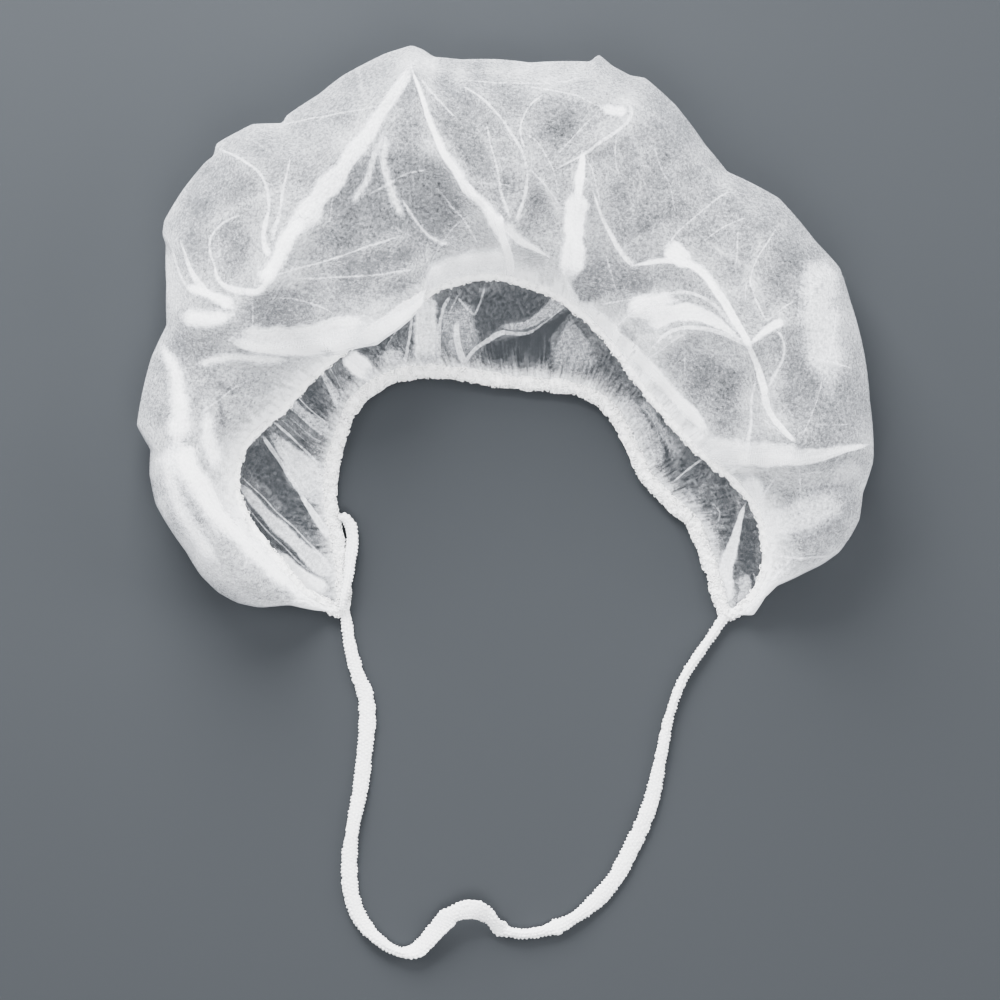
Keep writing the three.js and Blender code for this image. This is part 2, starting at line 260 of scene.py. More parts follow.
# %% Neck strap
# x, y and height of the strap's middle
STRAP_ROUTE = [
    (-48.2, -85.1, 1.6), (-47.6, -88.5, 1.2), (-46.6, -95, 1), (-44.6, -102.5, 1), (-42.2, -109, 1),
    (-41.6, -116, 1), (-42.2, -124, 1), (-43.7, -137, 1), (-45.8, -148, 1), (-47, -158, 1),
    (-46.4, -169, 1), (-43.6, -176.5, 1), (-38.2, -182.6, 1), (-31.8, -186.2, 1.2), (-27, -185.8, 2),
    (-20.8, -179.6, 3.4), (-15.8, -174.6, 5), (-9.4, -173.2, 5.6), (-5.2, -175.4, 4), (-1.4, -179.2, 2),
    (4.6, -180.8, 1.2), (13, -179.6, 1), (21.4, -175.6, 1), (31.4, -166.4, 1), (38.1, -154.6, 1),
    (43.5, -142, 1), (46.7, -128, 1), (49.4, -115, 1), (53.5, -104, 1), (58.6, -96, 1.1),
    (62.8, -90, 1.4), (64.45, -87.45, 1.6),
]
LEFT_TUCK = (-48.6, -81.8, 2.3)
RIGHT_TUCK = (66.2, -85.0, 2.2)
# share of the length, half the width that shows, roll in degrees
STRAP_LIE = np.array([
    (0, 1.5, 10), (0.04, 1.9, 0), (0.125, 2.5, 0), (0.19, 2.4, 0), (0.245, 2.1, -8), (0.29, 2.4, 0),
    (0.34, 2.4, 0), (0.382, 1.7, 15), (0.403, 1.5, 20), (0.418, 2.5, 24), (0.445, 2.8, 22),
    (0.468, 3.1, 12), (0.482, 2.5, 0), (0.497, 3.1, -8), (0.515, 2.9, -16), (0.528, 2.2, -24),
    (0.541, 2.7, -20), (0.556, 1.5, -10), (0.59, 1.7, 0), (0.605, 2.4, 8), (0.625, 1.9, 4),
    (0.66, 2.5, 0), (0.714, 2.5, 0), (0.765, 2.4, -6), (0.79, 2.3, 0), (0.82, 1.95, 0), (0.85, 1.7, 4),
    (0.88, 1.4, 10), (0.918, 1.45, 12), (0.952, 1.45, 10), (1, 1.6, 0),
])
# length of a stitch, width of a column of stitches, and how far a stitch rises from its groove
STITCH, COLUMN, STITCH_RISE = 1.12, 1.05, 0.34
GROOVE = 0.22
# half the thickness grows as the strap bunches: this over half the width, within limits
BUNCH, THINNEST, THICKEST = 2.3, 0.8, 1.3
# least gap under the oval and under its stitches
OVAL_CLEARANCE, STRAP_CLEARANCE = 0.1, 0.08


def knit(gone, across):
    """Height from 0 to 1 of a knitted face: columns of V-shaped loops.

    Each column's loops slant away from its middle, so their rows meet in Vs, and a groove parts it from
    the next column, whose loops sit half a stitch further on.
    """
    side = np.abs((across / COLUMN) % 1 - 0.5)
    half_step = 0.5 * (np.floor(across / COLUMN) % 2)
    loop = np.abs(np.sin(np.pi * (gone / STITCH + 0.9 * side + half_step)))
    return np.sqrt(loop) * np.sqrt(np.cos(np.pi * side))


def knit_face(gone, half_width, sides):
    """Height from 0 to 1.2 of the knit round a strap, whose stitches wander and lie unevenly."""
    run = gone * [[1, 0]]
    angle = np.linspace(0, 2 * np.pi, sides, endpoint=False)
    across = half_width[:, None] * np.cos(angle)
    face = knit(gone + 0.35 * wobble(run, 4)[:, None], across + 0.2 * wobble(run, 6)[:, None])
    spot = np.stack(np.broadcast_arrays(gone, 3 * across), axis=-1)
    return np.clip(face * (0.8 + 0.35 * wobble(spot, 2.6)), 0, 1.2)


def knitted_strap(name, route, lie, steps, sides):
    """Knitted strap laid along a route; returns the piece, its path and its length."""
    path = spline(route, steps)
    share = np.linspace(0, 1, steps)
    half_width, roll = smooth_curve(lie[:, 0], lie[:, 1:], share).T
    half_height = np.clip(BUNCH / half_width, THINNEST, THICKEST)
    roll = np.radians(roll)
    lowest = np.abs(half_width * np.sin(roll)) + half_height * np.cos(roll) + OVAL_CLEARANCE
    path[:, 2] = np.maximum(path[:, 2], lowest)
    length = np.linalg.norm(np.diff(path, axis=0), axis=1).sum()
    gone = share[:, None] * length
    run = gone * [[1, 0]]
    ragged = 0.05 * wobble(run, 5) + 0.03 * wobble(run, 2.2)
    half_width = half_width * (1 + ragged) + 0.12 * np.cos(2 * np.pi * gone[:, 0] / STITCH)
    face = knit_face(gone, half_width, sides)
    points = tube(path, half_width, half_height, roll, STITCH_RISE * face - GROOVE)
    points[..., 2] = np.maximum(points[..., 2], STRAP_CLEARANCE)
    # the stitch height also goes on as a mark, which the knit finish turns into painted shade in the grooves
    piece = grid_mesh(name, points, {"groove_shade_and_tone": face + 0.25}, wrap=(False, True))
    return piece, path, length


route = [LEFT_TUCK, *STRAP_ROUTE, RIGHT_TUCK]
strap, strap_path, strap_length = knitted_strap("strap", route, STRAP_LIE, 1700, 42)
settle(strap, "neck_strap")
print(f"Strap {strap_length:.0f} mm long")

# %% [markdown]
# ## Folded-back strap end
#
# At the left corner the strap's own end is folded back along the elastic, and its tip curls over the band.

# %% Strap end
TAIL_ROUTE = [
    (-49, -83, 3.6), (-48.6, -79.6, 4.4), (-47.4, -74, 4.2), (-46.6, -68, 3.4), (-46, -61.5, 2.6),
    (-46.8, -57.6, 2.6), (-48.4, -55.6, 3), (-50.4, -55.2, 3.4),
]
TAIL_LIE = np.array([(0, 1.2, 20), (0.35, 1.6, 10), (0.7, 1.9, 10), (0.93, 1.5, 20), (1, 0.5, 20)])

tail, _, tail_length = knitted_strap("strap_end", TAIL_ROUTE, TAIL_LIE, 200, 36)
settle(tail, "strap_tail")
print(f"Folded-back end {tail_length:.0f} mm long")

# %% [markdown]
# ## Form of the pouch
#
# The pouch is a crescent, so its sections are taken like the ribs of a fan: each row of the table is one
# rib, with the distance of the lower lip and of the upper lip from the fan's point, and its heights. A rib
# runs from the lower lip back along the table, turns up round the outer edge, and comes forward over the
# crest to the upper lip. The outer edge has a table of its own, because it is full of small corners. Left of
# the middle the front sheet flops over its own lip and hides the elastic, and a third table draws that flap.
#
# Cloth simulation would puff the sheet up as well, but it would not put the folds where the packet left
# them, so the sheet is shaped from the tables and the folds are laid on afterwards.

# %% Sections of the pouch
# point of the fan, and the turns in degrees at the right and the left corner of the mouth
FAN = np.array([7.65, -63.75])
RIGHT_TURN, LEFT_TURN = -19.0, 198.6
# how far the cloth starts behind the middle of the elastic, and the share of a rib where the sheets meet
LIP_TUCK = 0.5
SEAM = 0.36
# turn in degrees, distance of the lower lip and the upper lip, height of the upper lip and of the crest
SECTIONS = np.array([
    (-19, 61.6, 63.4, 2, 2.6), (-16, 59, 66.8, 3.2, 6), (-12, 56.9, 69, 5, 9),
    (-6, 53.9, 70.5, 8, 15), (0, 51.5, 70.2, 10, 22), (8, 49, 68.7, 12, 27), (16, 44.3, 64.6, 13, 32),
    (31, 40.3, 56.9, 15, 38), (43, 42.2, 55.9, 16, 40), (54, 45.4, 57.4, 17, 41),
    (63, 48, 61.3, 18, 42), (73, 48.8, 67.6, 19, 44), (82, 48.5, 73.4, 20, 45),
    (89, 48.4, 77, 20, 46), (97, 49.4, 80.6, 20, 46), (104, 51.4, 81.8, 19, 45),
    (113, 56, 81.2, 18, 44), (122, 61.4, 80.1, 17, 43), (131, 66.1, 80.5, 16, 42),
    (141, 67.9, 82.2, 15, 38), (151, 65.9, 84.7, 13, 31), (162, 63.4, 91, 12, 30),
    (171, 60.6, 88.7, 12, 29), (180, 58, 79.5, 11, 27), (187, 57.5, 73, 9, 22),
    (192, 57.8, 69, 6, 14), (196, 58.6, 64.5, 3.2, 6), (198.6, 60.6, 62, 2, 2.6),
])
# turn in degrees, distance of the outer edge
EDGE = np.array([
    (-19, 64.6), (-17.6, 70.2), (-12.6, 72.2), (-9.4, 75), (-7.9, 78.2), (-5.75, 82.8), (-3.8, 87.6),
    (-1.4, 92.4), (1.6, 95.9), (4.4, 98.7), (8.9, 100.6), (12, 103.7), (13.6, 105.3), (14.7, 106),
    (23.2, 110.2), (37.5, 120.2), (41.9, 124), (47, 124.4), (54.5, 127.4), (62.3, 126), (66.5, 130.4),
    (71.9, 138.4), (76.3, 143.6), (78.1, 143.3), (80.4, 145.1), (82.2, 148), (83, 145.4), (90.1, 144),
    (94, 145.4), (98.1, 146.4), (101.3, 148.6), (102.2, 151.2), (103.4, 153.4), (106.5, 153.1),
    (112, 151), (115.2, 148.8), (119.7, 147.6), (120.5, 146.2), (123.5, 150.8), (128.1, 152.4),
    (129.2, 150), (130.4, 150.2), (134.5, 148.6), (138.5, 146.4), (140, 144), (140.4, 141.7),
    (144.5, 134), (148.9, 127.4), (153.7, 126.8), (163.1, 123.4), (165.9, 117.5), (169.5, 116.2),
    (173.8, 113.1), (181, 103.5), (185.2, 99.5), (188.7, 94.8), (191.2, 89.8), (193.1, 83.4),
    (193.9, 75), (197.1, 67.4), (198.6, 63),
])
# turn in degrees, distance of the edge of the flap
FLAP = np.array([
    (106, 84), (113.8, 78), (118.6, 75.8), (121.2, 75.1), (127.6, 75), (132.9, 79), (135.9, 79.8),
    (141, 84),
])


def outer_edge(turn):
    """Distance of the outer edge, with the table's corners rounded over about half a degree."""
    near = np.linspace(-0.3, 0.3, 7)
    weight = 1 - (near / 0.4) ** 2
    return (np.interp(turn[:, None] + near, *EDGE.T) * weight).sum(axis=1) / weight.sum()


def fan_point(turn, distance, height):
    """Point at a turn, a distance from the fan's point and a height."""
    heading = np.radians(turn)
    x, y = FAN[0] + distance * np.cos(heading), FAN[1] + distance * np.sin(heading)
    return np.stack([x, y, height], axis=-1)


def pouch_form(across, along):
    """Plain puffed pouch: points for each rib (across) and each step along it, from 0 to 1.

    The nine stops of a rib are the lower lip, three on the table, the outer edge, the wall, the crest,
    the brow over the mouth and the upper lip.
    """
    turn = LEFT_TURN + (RIGHT_TURN - LEFT_TURN) * across
    lower, upper, lip, crest = smooth_curve(SECTIONS[:, 0], SECTIONS[:, 1:], turn).T
    outer = outer_edge(turn)
    start, end = lower + LIP_TUCK, upper + LIP_TUCK
    floor, front = outer - start, outer - end
    droop = smoothstep(turn, 107, 115) - smoothstep(turn, 134, 142)
    brow = (end + 0.14 * front) * (1 - droop) + np.interp(turn, *FLAP.T) * droop
    flat = np.zeros_like(turn)
    stops = np.array([0, 0.1, 0.25, 0.38, 0.5, 0.62, 0.76, 0.91, 1])
    distance = np.array([
        start, start + 0.22 * floor, start + 0.55 * floor, start + 0.85 * floor, outer,
        end + 0.86 * front, end + 0.52 * front, brow, end,
    ])
    height = np.array([
        flat + 0.9, flat, flat, flat, 0.34 * crest,
        0.78 * crest, crest, lip + (0.5 - 0.15 * droop) * (crest - lip), lip,
    ])
    distance = smooth_curve(stops, distance, along).T
    height = smooth_curve(stops, height, along).T
    return fan_point(turn[:, None], distance, height)


lip_check = pouch_form(np.array([0.3, 0.5, 0.7]), np.array([0.0, 1.0]))
print("Lips at three ribs, mm:", np.round(lip_check[:, :, 1:], 1).tolist())

# %% [markdown]
# ## Folds
#
# A fold is a strip in which the cloth lies three layers deep, so it mostly shows as a whiter band with crisp
# edges. Each row of the tables below is one fold of this net: three points that it runs through as the
# camera sees it, its width at both ends, how closely all the layers cover what lies behind (1 is plain
# white), how soft its edges are, how far it stands up, and which side is crisp: 1 for the left side on the
# way along the fold, -1 for the right side, with the other side fading away, and 0 for both.
#
# The folds could be painted on the sheet's points, but those lie almost a millimetre apart, and the edges
# would blur. So each fold is laid on the sheet as a narrow layer of cloth of its own. To keep the layers
# from looking drawn on, narrow folds are fainter than broad ones, every fold thins out at its ends, and
# the sheet itself is a little fuller beside a fold.

# %% Folds of the front sheet
# x and y of three points, then these columns
START_WIDTH, END_WIDTH, COVER, SOFT, RISE, CRISP = range(6, 12)
FRONT_FOLDS = np.array([
    # band from the top point down to the left
    (-27.8, 80, -45, 54.6, -64, 30.1, 4.2, 9, 0.82, 1.4, 2.2, 0),
    (-60.6, 34.1, -66.8, 25.3, -72.8, 13.3, 6, 7, 0.92, 2, 2, 0),
    (-64.6, 52.9, -67.3, 39.4, -70, 27.1, 0.9, 2, 0.88, 0.5, 1, 0),
    # ring on the left
    (-87, 55.6, -73.6, 47, -71.4, 35.9, 1.3, 1.6, 0.93, 0.5, 1.4, 0),
    (-71.4, 36.9, -72.4, 28.3, -71, 22.9, 1.6, 3, 0.92, 0.6, 1.4, 0),
    (-79, 35.2, -87.8, 29.9, -87.5, 19.9, 1.1, 1.4, 0.92, 0.5, 1.2, 1),
    (-87.5, 20.9, -84.8, 14.2, -77.5, 12.2, 1.4, 3.4, 0.92, 0.8, 1.2, 0),
    (-78.5, 12.4, -73, 13, -70.6, 20.3, 3, 3, 0.93, 1, 1.2, 0),
    (-100.6, 26.6, -97.3, 17.2, -93.5, 11.5, 1.1, 1.6, 0.9, 0.5, 1, 0),
    (-97.3, 27.1, -93.4, 17.2, -88.3, 10.9, 1.4, 3, 0.92, 0.7, 1, 0),
    (-95.5, 14, -89.5, 11.5, -80.8, 7.5, 4, 5, 0.92, 1.5, 1.2, 0),
    (-66.8, 62.5, -52.9, 65.2, -37.4, 68, 0.9, 0.8, 0.86, 0.5, 0.6, 0),
    (-71.5, 16.6, -52.6, 21.9, -31.6, 29, 0.9, 1, 0.95, 0.4, 1, 0),
    (-62.5, 16.1, -45.4, 16.9, -28.3, 18.8, 0.9, 1.2, 0.9, 0.5, 0.8, 0),
    (-70, 10, -60, 9.5, -50.5, 4.8, 0.8, 0.8, 0.88, 0.5, 0.6, 0),
    (-36.1, 58.9, -35.6, 47.2, -30.8, 34.8, 4, 5, 0.74, 3, 0.5, 0),
    (-36.8, 60.2, -41, 48, -45.5, 39, 3, 4, 0.72, 2, 0.4, 0),
    # band from the top point down to the lip
    (-27.8, 79, -20.3, 58.9, -9.5, 40.9, 1.3, 5, 0.95, 0.5, 2, -1),
    (-12.5, 46.2, -5, 36.4, 1.5, 26.1, 3.6, 7, 0.94, 1.2, 1.6, -1),
    (-2.9, 35.4, 0.3, 25.4, 1.6, 13.4, 3.2, 3.2, 0.97, 0.5, 1.8, 0),
    (-5.9, 63.5, -2.5, 48.4, 1.1, 34.1, 0.8, 1.4, 0.92, 0.4, 0.8, 0),
    (-0.1, 33.2, 5, 27.9, 13.8, 22.4, 6, 1.4, 0.95, 0.6, 1.2, -1),
    (-31, 40, -24, 30, -17, 26.5, 1.6, 2.4, 0.84, 1, 0.7, 0),
    (-17, 38, -12, 33, -8.5, 26, 0.8, 1.2, 0.86, 0.5, 0.6, 0),
    # arcs in the middle
    (-13.2, 74.3, -0.1, 63, 6.5, 48.1, 1.1, 1.3, 0.95, 0.4, 1.2, 0),
    (6.5, 49.1, 5.8, 41.2, 2.9, 33.1, 1.2, 1.8, 0.93, 0.5, 1.2, 0),
    (11.2, 71.5, 5.2, 64.3, 5.8, 54.8, 0.9, 1.1, 0.93, 0.4, 1, 0),
    (5.2, 59.8, 12.2, 53.6, 16, 40.8, 0.8, 0.8, 0.86, 0.4, 0.6, 0),
    (7, 48.8, 11.8, 44.5, 16.3, 37.9, 0.8, 0.8, 0.86, 0.4, 0.6, 0),
    (-13.2, 76, 7.3, 74.7, 24.1, 76.6, 0.8, 0.8, 0.84, 0.5, 0.6, 0),
    (6.5, 73.6, 17.3, 71.8, 28.1, 68, 0.8, 0.9, 0.86, 0.5, 0.6, 0),
    (-25.5, 76.4, -21, 70.5, -14.8, 64.5, 1.6, 0.8, 0.92, 0.6, 0.8, 0),
    # hook and column right of the middle
    (37, 68, 36, 62.6, 28.3, 57.1, 1.4, 1.5, 0.97, 0.4, 1.6, 0),
    (29.3, 57.8, 22.6, 53.2, 15.6, 49.4, 1.5, 0.9, 0.95, 0.4, 1.4, 0),
    (28, 68.4, 33, 66.4, 37.2, 66.6, 5, 4, 0.86, 1.6, 0.6, 0),
    (22.9, 54.6, 22.4, 47.2, 21.4, 40.2, 2.4, 4.4, 0.92, 0.8, 1.6, 0),
    (21.6, 43, 20.6, 30.2, 19.6, 16.2, 7.6, 8.4, 0.93, 1.4, 2, 0),
    (24.6, 50.6, 27.1, 45.8, 28.1, 38.2, 0.9, 0.9, 0.88, 0.5, 0.8, 0),
    (26.4, 42.1, 30.6, 31.6, 38.6, 19.9, 1, 3, 0.96, 0.4, 1.4, -1),
    (33.8, 59.8, 33, 52.9, 34.3, 46.9, 0.8, 0.8, 0.86, 0.5, 0.5, 0),
    (27.1, 65.3, 20.9, 59.2, 15.6, 53.1, 0.7, 0.7, 0.84, 0.4, 0.5, 0),
    (17.6, 20, 18.6, 15, 22, 9.6, 1.4, 2.4, 0.93, 0.6, 0.8, 0),
    (30, 24, 31.5, 19, 33, 13, 0.8, 0.8, 0.86, 0.4, 0.5, 0),
    # along the upper lip on the right
    (22.5, 9, 43, -10.6, 60.5, -30, 5, 5, 0.97, 1.2, 0.3, 0),
    # arches on the right
    (38.8, 20.3, 55.2, 20.8, 64.1, 10.9, 2, 4.6, 0.94, 0.6, 1.8, -1),
    (47.6, 26.6, 51.6, 23.4, 56.5, 19.4, 8, 5, 0.92, 0.8, 1, 0),
    (63.1, 12.5, 68.8, 4.1, 73.3, -4.6, 3.2, 2.4, 0.96, 0.4, 1.8, 0),
    (38.4, 7.6, 55.8, 11.6, 70, -0.6, 1, 1.6, 0.94, 0.4, 1, 0),
    (42, 2.4, 56, 5.9, 70.6, -2.4, 9, 2.6, 0.94, 1, 1.4, 0),
    (44.4, -4, 56.4, 1.6, 73.1, -4.4, 1.2, 2.2, 0.96, 0.4, 1.2, 0),
    (73, -4.3, 76, -11.8, 77.8, -19.1, 2, 2.8, 0.98, 0.4, 2, 0),
    (77.5, -18.1, 80.4, -25.6, 86.9, -32.6, 2.8, 1.8, 0.98, 0.4, 2, 0),
    (76.3, -25.6, 80, -28.1, 84.8, -31.6, 0.8, 0.9, 0.95, 0.4, 0.8, 0),
    (74.8, -14.8, 73.4, -26, 72.7, -38.2, 1.4, 2.2, 0.94, 0.8, 1.4, 0),
    (73.3, -3.8, 78.1, 0.9, 84.2, 3.3, 2, 4, 0.92, 0.8, 1.2, 0),
    (81.1, 0.8, 83.6, -5, 78.8, -16.6, 1.2, 1.6, 0.93, 0.6, 1, 0),
    (82, 31.8, 74.5, 20.3, 74.3, 12.8, 0.8, 1, 0.96, 0.4, 1, 0),
    (74.3, 13.4, 75.3, 8.5, 78.1, 3.6, 1, 0.9, 0.96, 0.4, 1, 0),
    (67.5, 41.9, 58.9, 36.6, 47.5, 25.3, 1, 0.8, 0.9, 0.5, 0.7, 0),
    (72.2, 34.6, 66, 31.8, 59, 27.3, 0.8, 0.8, 0.88, 0.4, 0.6, 0),
    (69.8, 30.8, 69.5, 25.1, 68.8, 19.9, 0.8, 0.8, 0.88, 0.4, 0.6, 0),
    (72.5, 14.5, 72.1, 12.2, 71.8, 9.8, 0.7, 0.7, 0.88, 0.4, 0.5, 0),
    (86.8, 9.2, 82.3, 6.8, 77.8, 3.2, 0.9, 1, 0.9, 0.5, 0.6, 0),
    (100, 9.2, 98.5, -0.1, 96.5, -8.8, 0.9, 0.9, 0.88, 0.4, 0.6, 0),
    (90.5, -7, 96.8, -8.8, 104, -10.9, 0.9, 0.9, 0.9, 0.4, 0.7, 0),
    (95, -12, 93.5, -20, 88.6, -31.5, 0.7, 0.8, 0.84, 0.5, 0.5, 0),
    # hem of the right bulge and folds of the lobe below it
    (58, -33.6, 73.5, -36, 89, -35.4, 9, 8, 0.86, 2, 0.4, 0),
    (85, -36.6, 99, -35.6, 108, -33.6, 5, 2, 0.82, 1, 0.3, 0),
    (72.6, -42, 75, -54, 74, -68, 8, 6, 0.88, 2, 0.4, 0),
    (76, -79, 87, -75.4, 98, -67.4, 2.4, 2, 0.86, 0.8, 0.3, 0),
    (59, -36.6, 73.8, -37.4, 88.6, -36.9, 7.4, 6.4, 0.96, 0.4, 1.6, -1),
    (85, -38.2, 97, -36.6, 108.6, -33.4, 4.6, 2, 0.9, 0.5, 1.2, -1),
    (88, -40.6, 88.3, -47.2, 88.3, -53.2, 0.8, 0.8, 0.86, 0.4, 0.5, 0),
    (80.8, -42.8, 78.8, -46.9, 75.6, -52.5, 1, 1, 0.93, 0.4, 0.6, 0),
    (80, -66.6, 88.3, -67.6, 97.3, -67, 1.2, 0.9, 0.9, 0.5, 0.8, 0),
    (86.3, -67.4, 82.6, -71.4, 78.3, -75.6, 1.2, 1.2, 0.93, 0.5, 0.6, 0),
    (41.2, -9.2, 48.1, -4, 55, 0.4, 0.9, 0.9, 0.93, 0.4, 0.8, 0),
    (32.5, 0.4, 40.4, 7.3, 52.9, 10, 1, 1, 0.93, 0.4, 0.8, 0),
    (28.3, 8.8, 37.4, 9.8, 46.4, 12.8, 0.9, 0.9, 0.9, 0.4, 0.6, 0),
    (36, 4, 43, 8.6, 53, 9.5, 9, 8, 0.92, 2, 0.6, 0),
    # white left side
    (-98.1, 5.2, -90.1, 4.2, -80.2, 5.9, 8, 6, 0.93, 2.5, 1, 0),
    (-103.6, -3.2, -98.2, -17.2, -99, -36.2, 6, 12, 0.9, 4, 1, 0),
    (-101, -34, -98, -52, -87, -68, 8, 8, 0.82, 4, 0.3, 0),
    (-99.1, -33.9, -87.1, -53.9, -62, -78.8, 13, 6.5, 0.96, 2.4, 1.8, 1),
    (-92, -9, -80, -7.5, -66, -8.5, 5, 5, 0.88, 3, 0.6, 0),
    (-90, -22, -88.5, -32, -86.5, -42, 6, 9, 0.9, 3, 0.6, 0),
    (-82, -2.6, -62, -4.3, -44, -0.6, 4, 9, 0.97, 0.5, 1.2, -1),
    (-46, -1.4, -33.6, 3.4, -22.6, 12.2, 9, 4, 0.97, 0.5, 1.2, -1),
    (-80, -1.2, -60, -1, -42, 3, 8, 10, 0.9, 2, 0.2, 0),
    (-24, 14.6, -11, 21.4, 1.5, 20, 9, 9, 0.93, 3, 0.6, 0),
    # fuller places of the right side
    (70, -60, 86, -56, 104, -48, 14, 14, 0.74, 5, 0, 0),
    (96, 22, 94, 8, 98, -20, 16, 16, 0.74, 5, 0, 0),
])
# places with a cover of their own, mostly thinner than what is round them: the same columns up to softness
FRONT_THIN = np.array([
    (-101.8, 21.1, -100, 14.2, -98.2, 9.8, 4, 4, 0.45, 2),
    (-90.2, 0.6, -84.1, -0.2, -77.8, -0.6, 4.5, 5, 0.42, 1),
    (-74.8, 5, -67.6, 8.3, -61.6, 6.6, 8, 8, 0.36, 1.5),
    (-82.6, -11.5, -77.2, -10.7, -71.8, -10.7, 6, 6, 0.5, 2),
    (-98, -22.6, -97.3, -26.8, -96.5, -31, 1, 1.4, 0.4, 1.4),
    (-86, -15.4, -84.5, -16.6, -81.8, -17.8, 0.8, 1, 0.3, 0.8),
    (-86, -19.6, -85.3, -23.2, -84.8, -27.4, 0.9, 1.2, 0.3, 0.8),
    (-45, 42, -35, 43, -25, 40, 16, 22, 0.26, 6),
    (-18, 66, -12, 58, -8, 50, 5, 7, 0.32, 2),
    (24.5, 14, 32, 16.6, 41, 15.4, 9, 6, 0.32, 1.5),
    (40.5, 26, 44, 27, 48.5, 30, 6, 4, 0.42, 2),
    (42, 17.2, 53, 16.6, 61, 9.8, 3, 3, 0.42, 0.8),
    (56, -2, 63, -5, 70, -8, 4, 5, 0.46, 2),
    # a thinner strip just under the hem of the right bulge, so more grey table shows: painted shade under
    # the overhanging hem
    (64, -44, 84, -45, 104, -41.5, 5, 4, 0.5, 2.5),
    (-88, -66, -78, -74.5, -68, -79, 9, 6, 0.52, 3),
    (35.6, 1, 36.7, -0.3, 38, -1.6, 2.2, 2.2, 0.44, 1),
    (38.8, -4.6, 39.8, -5.8, 40.8, -7, 2.2, 2, 0.44, 0.8),
    (42, -10, 42.9, -11, 43.9, -12.2, 1.6, 1.6, 0.46, 0.8),
])

print(f"{len(FRONT_FOLDS)} front folds, {len(FRONT_THIN)} places with a cover of their own")

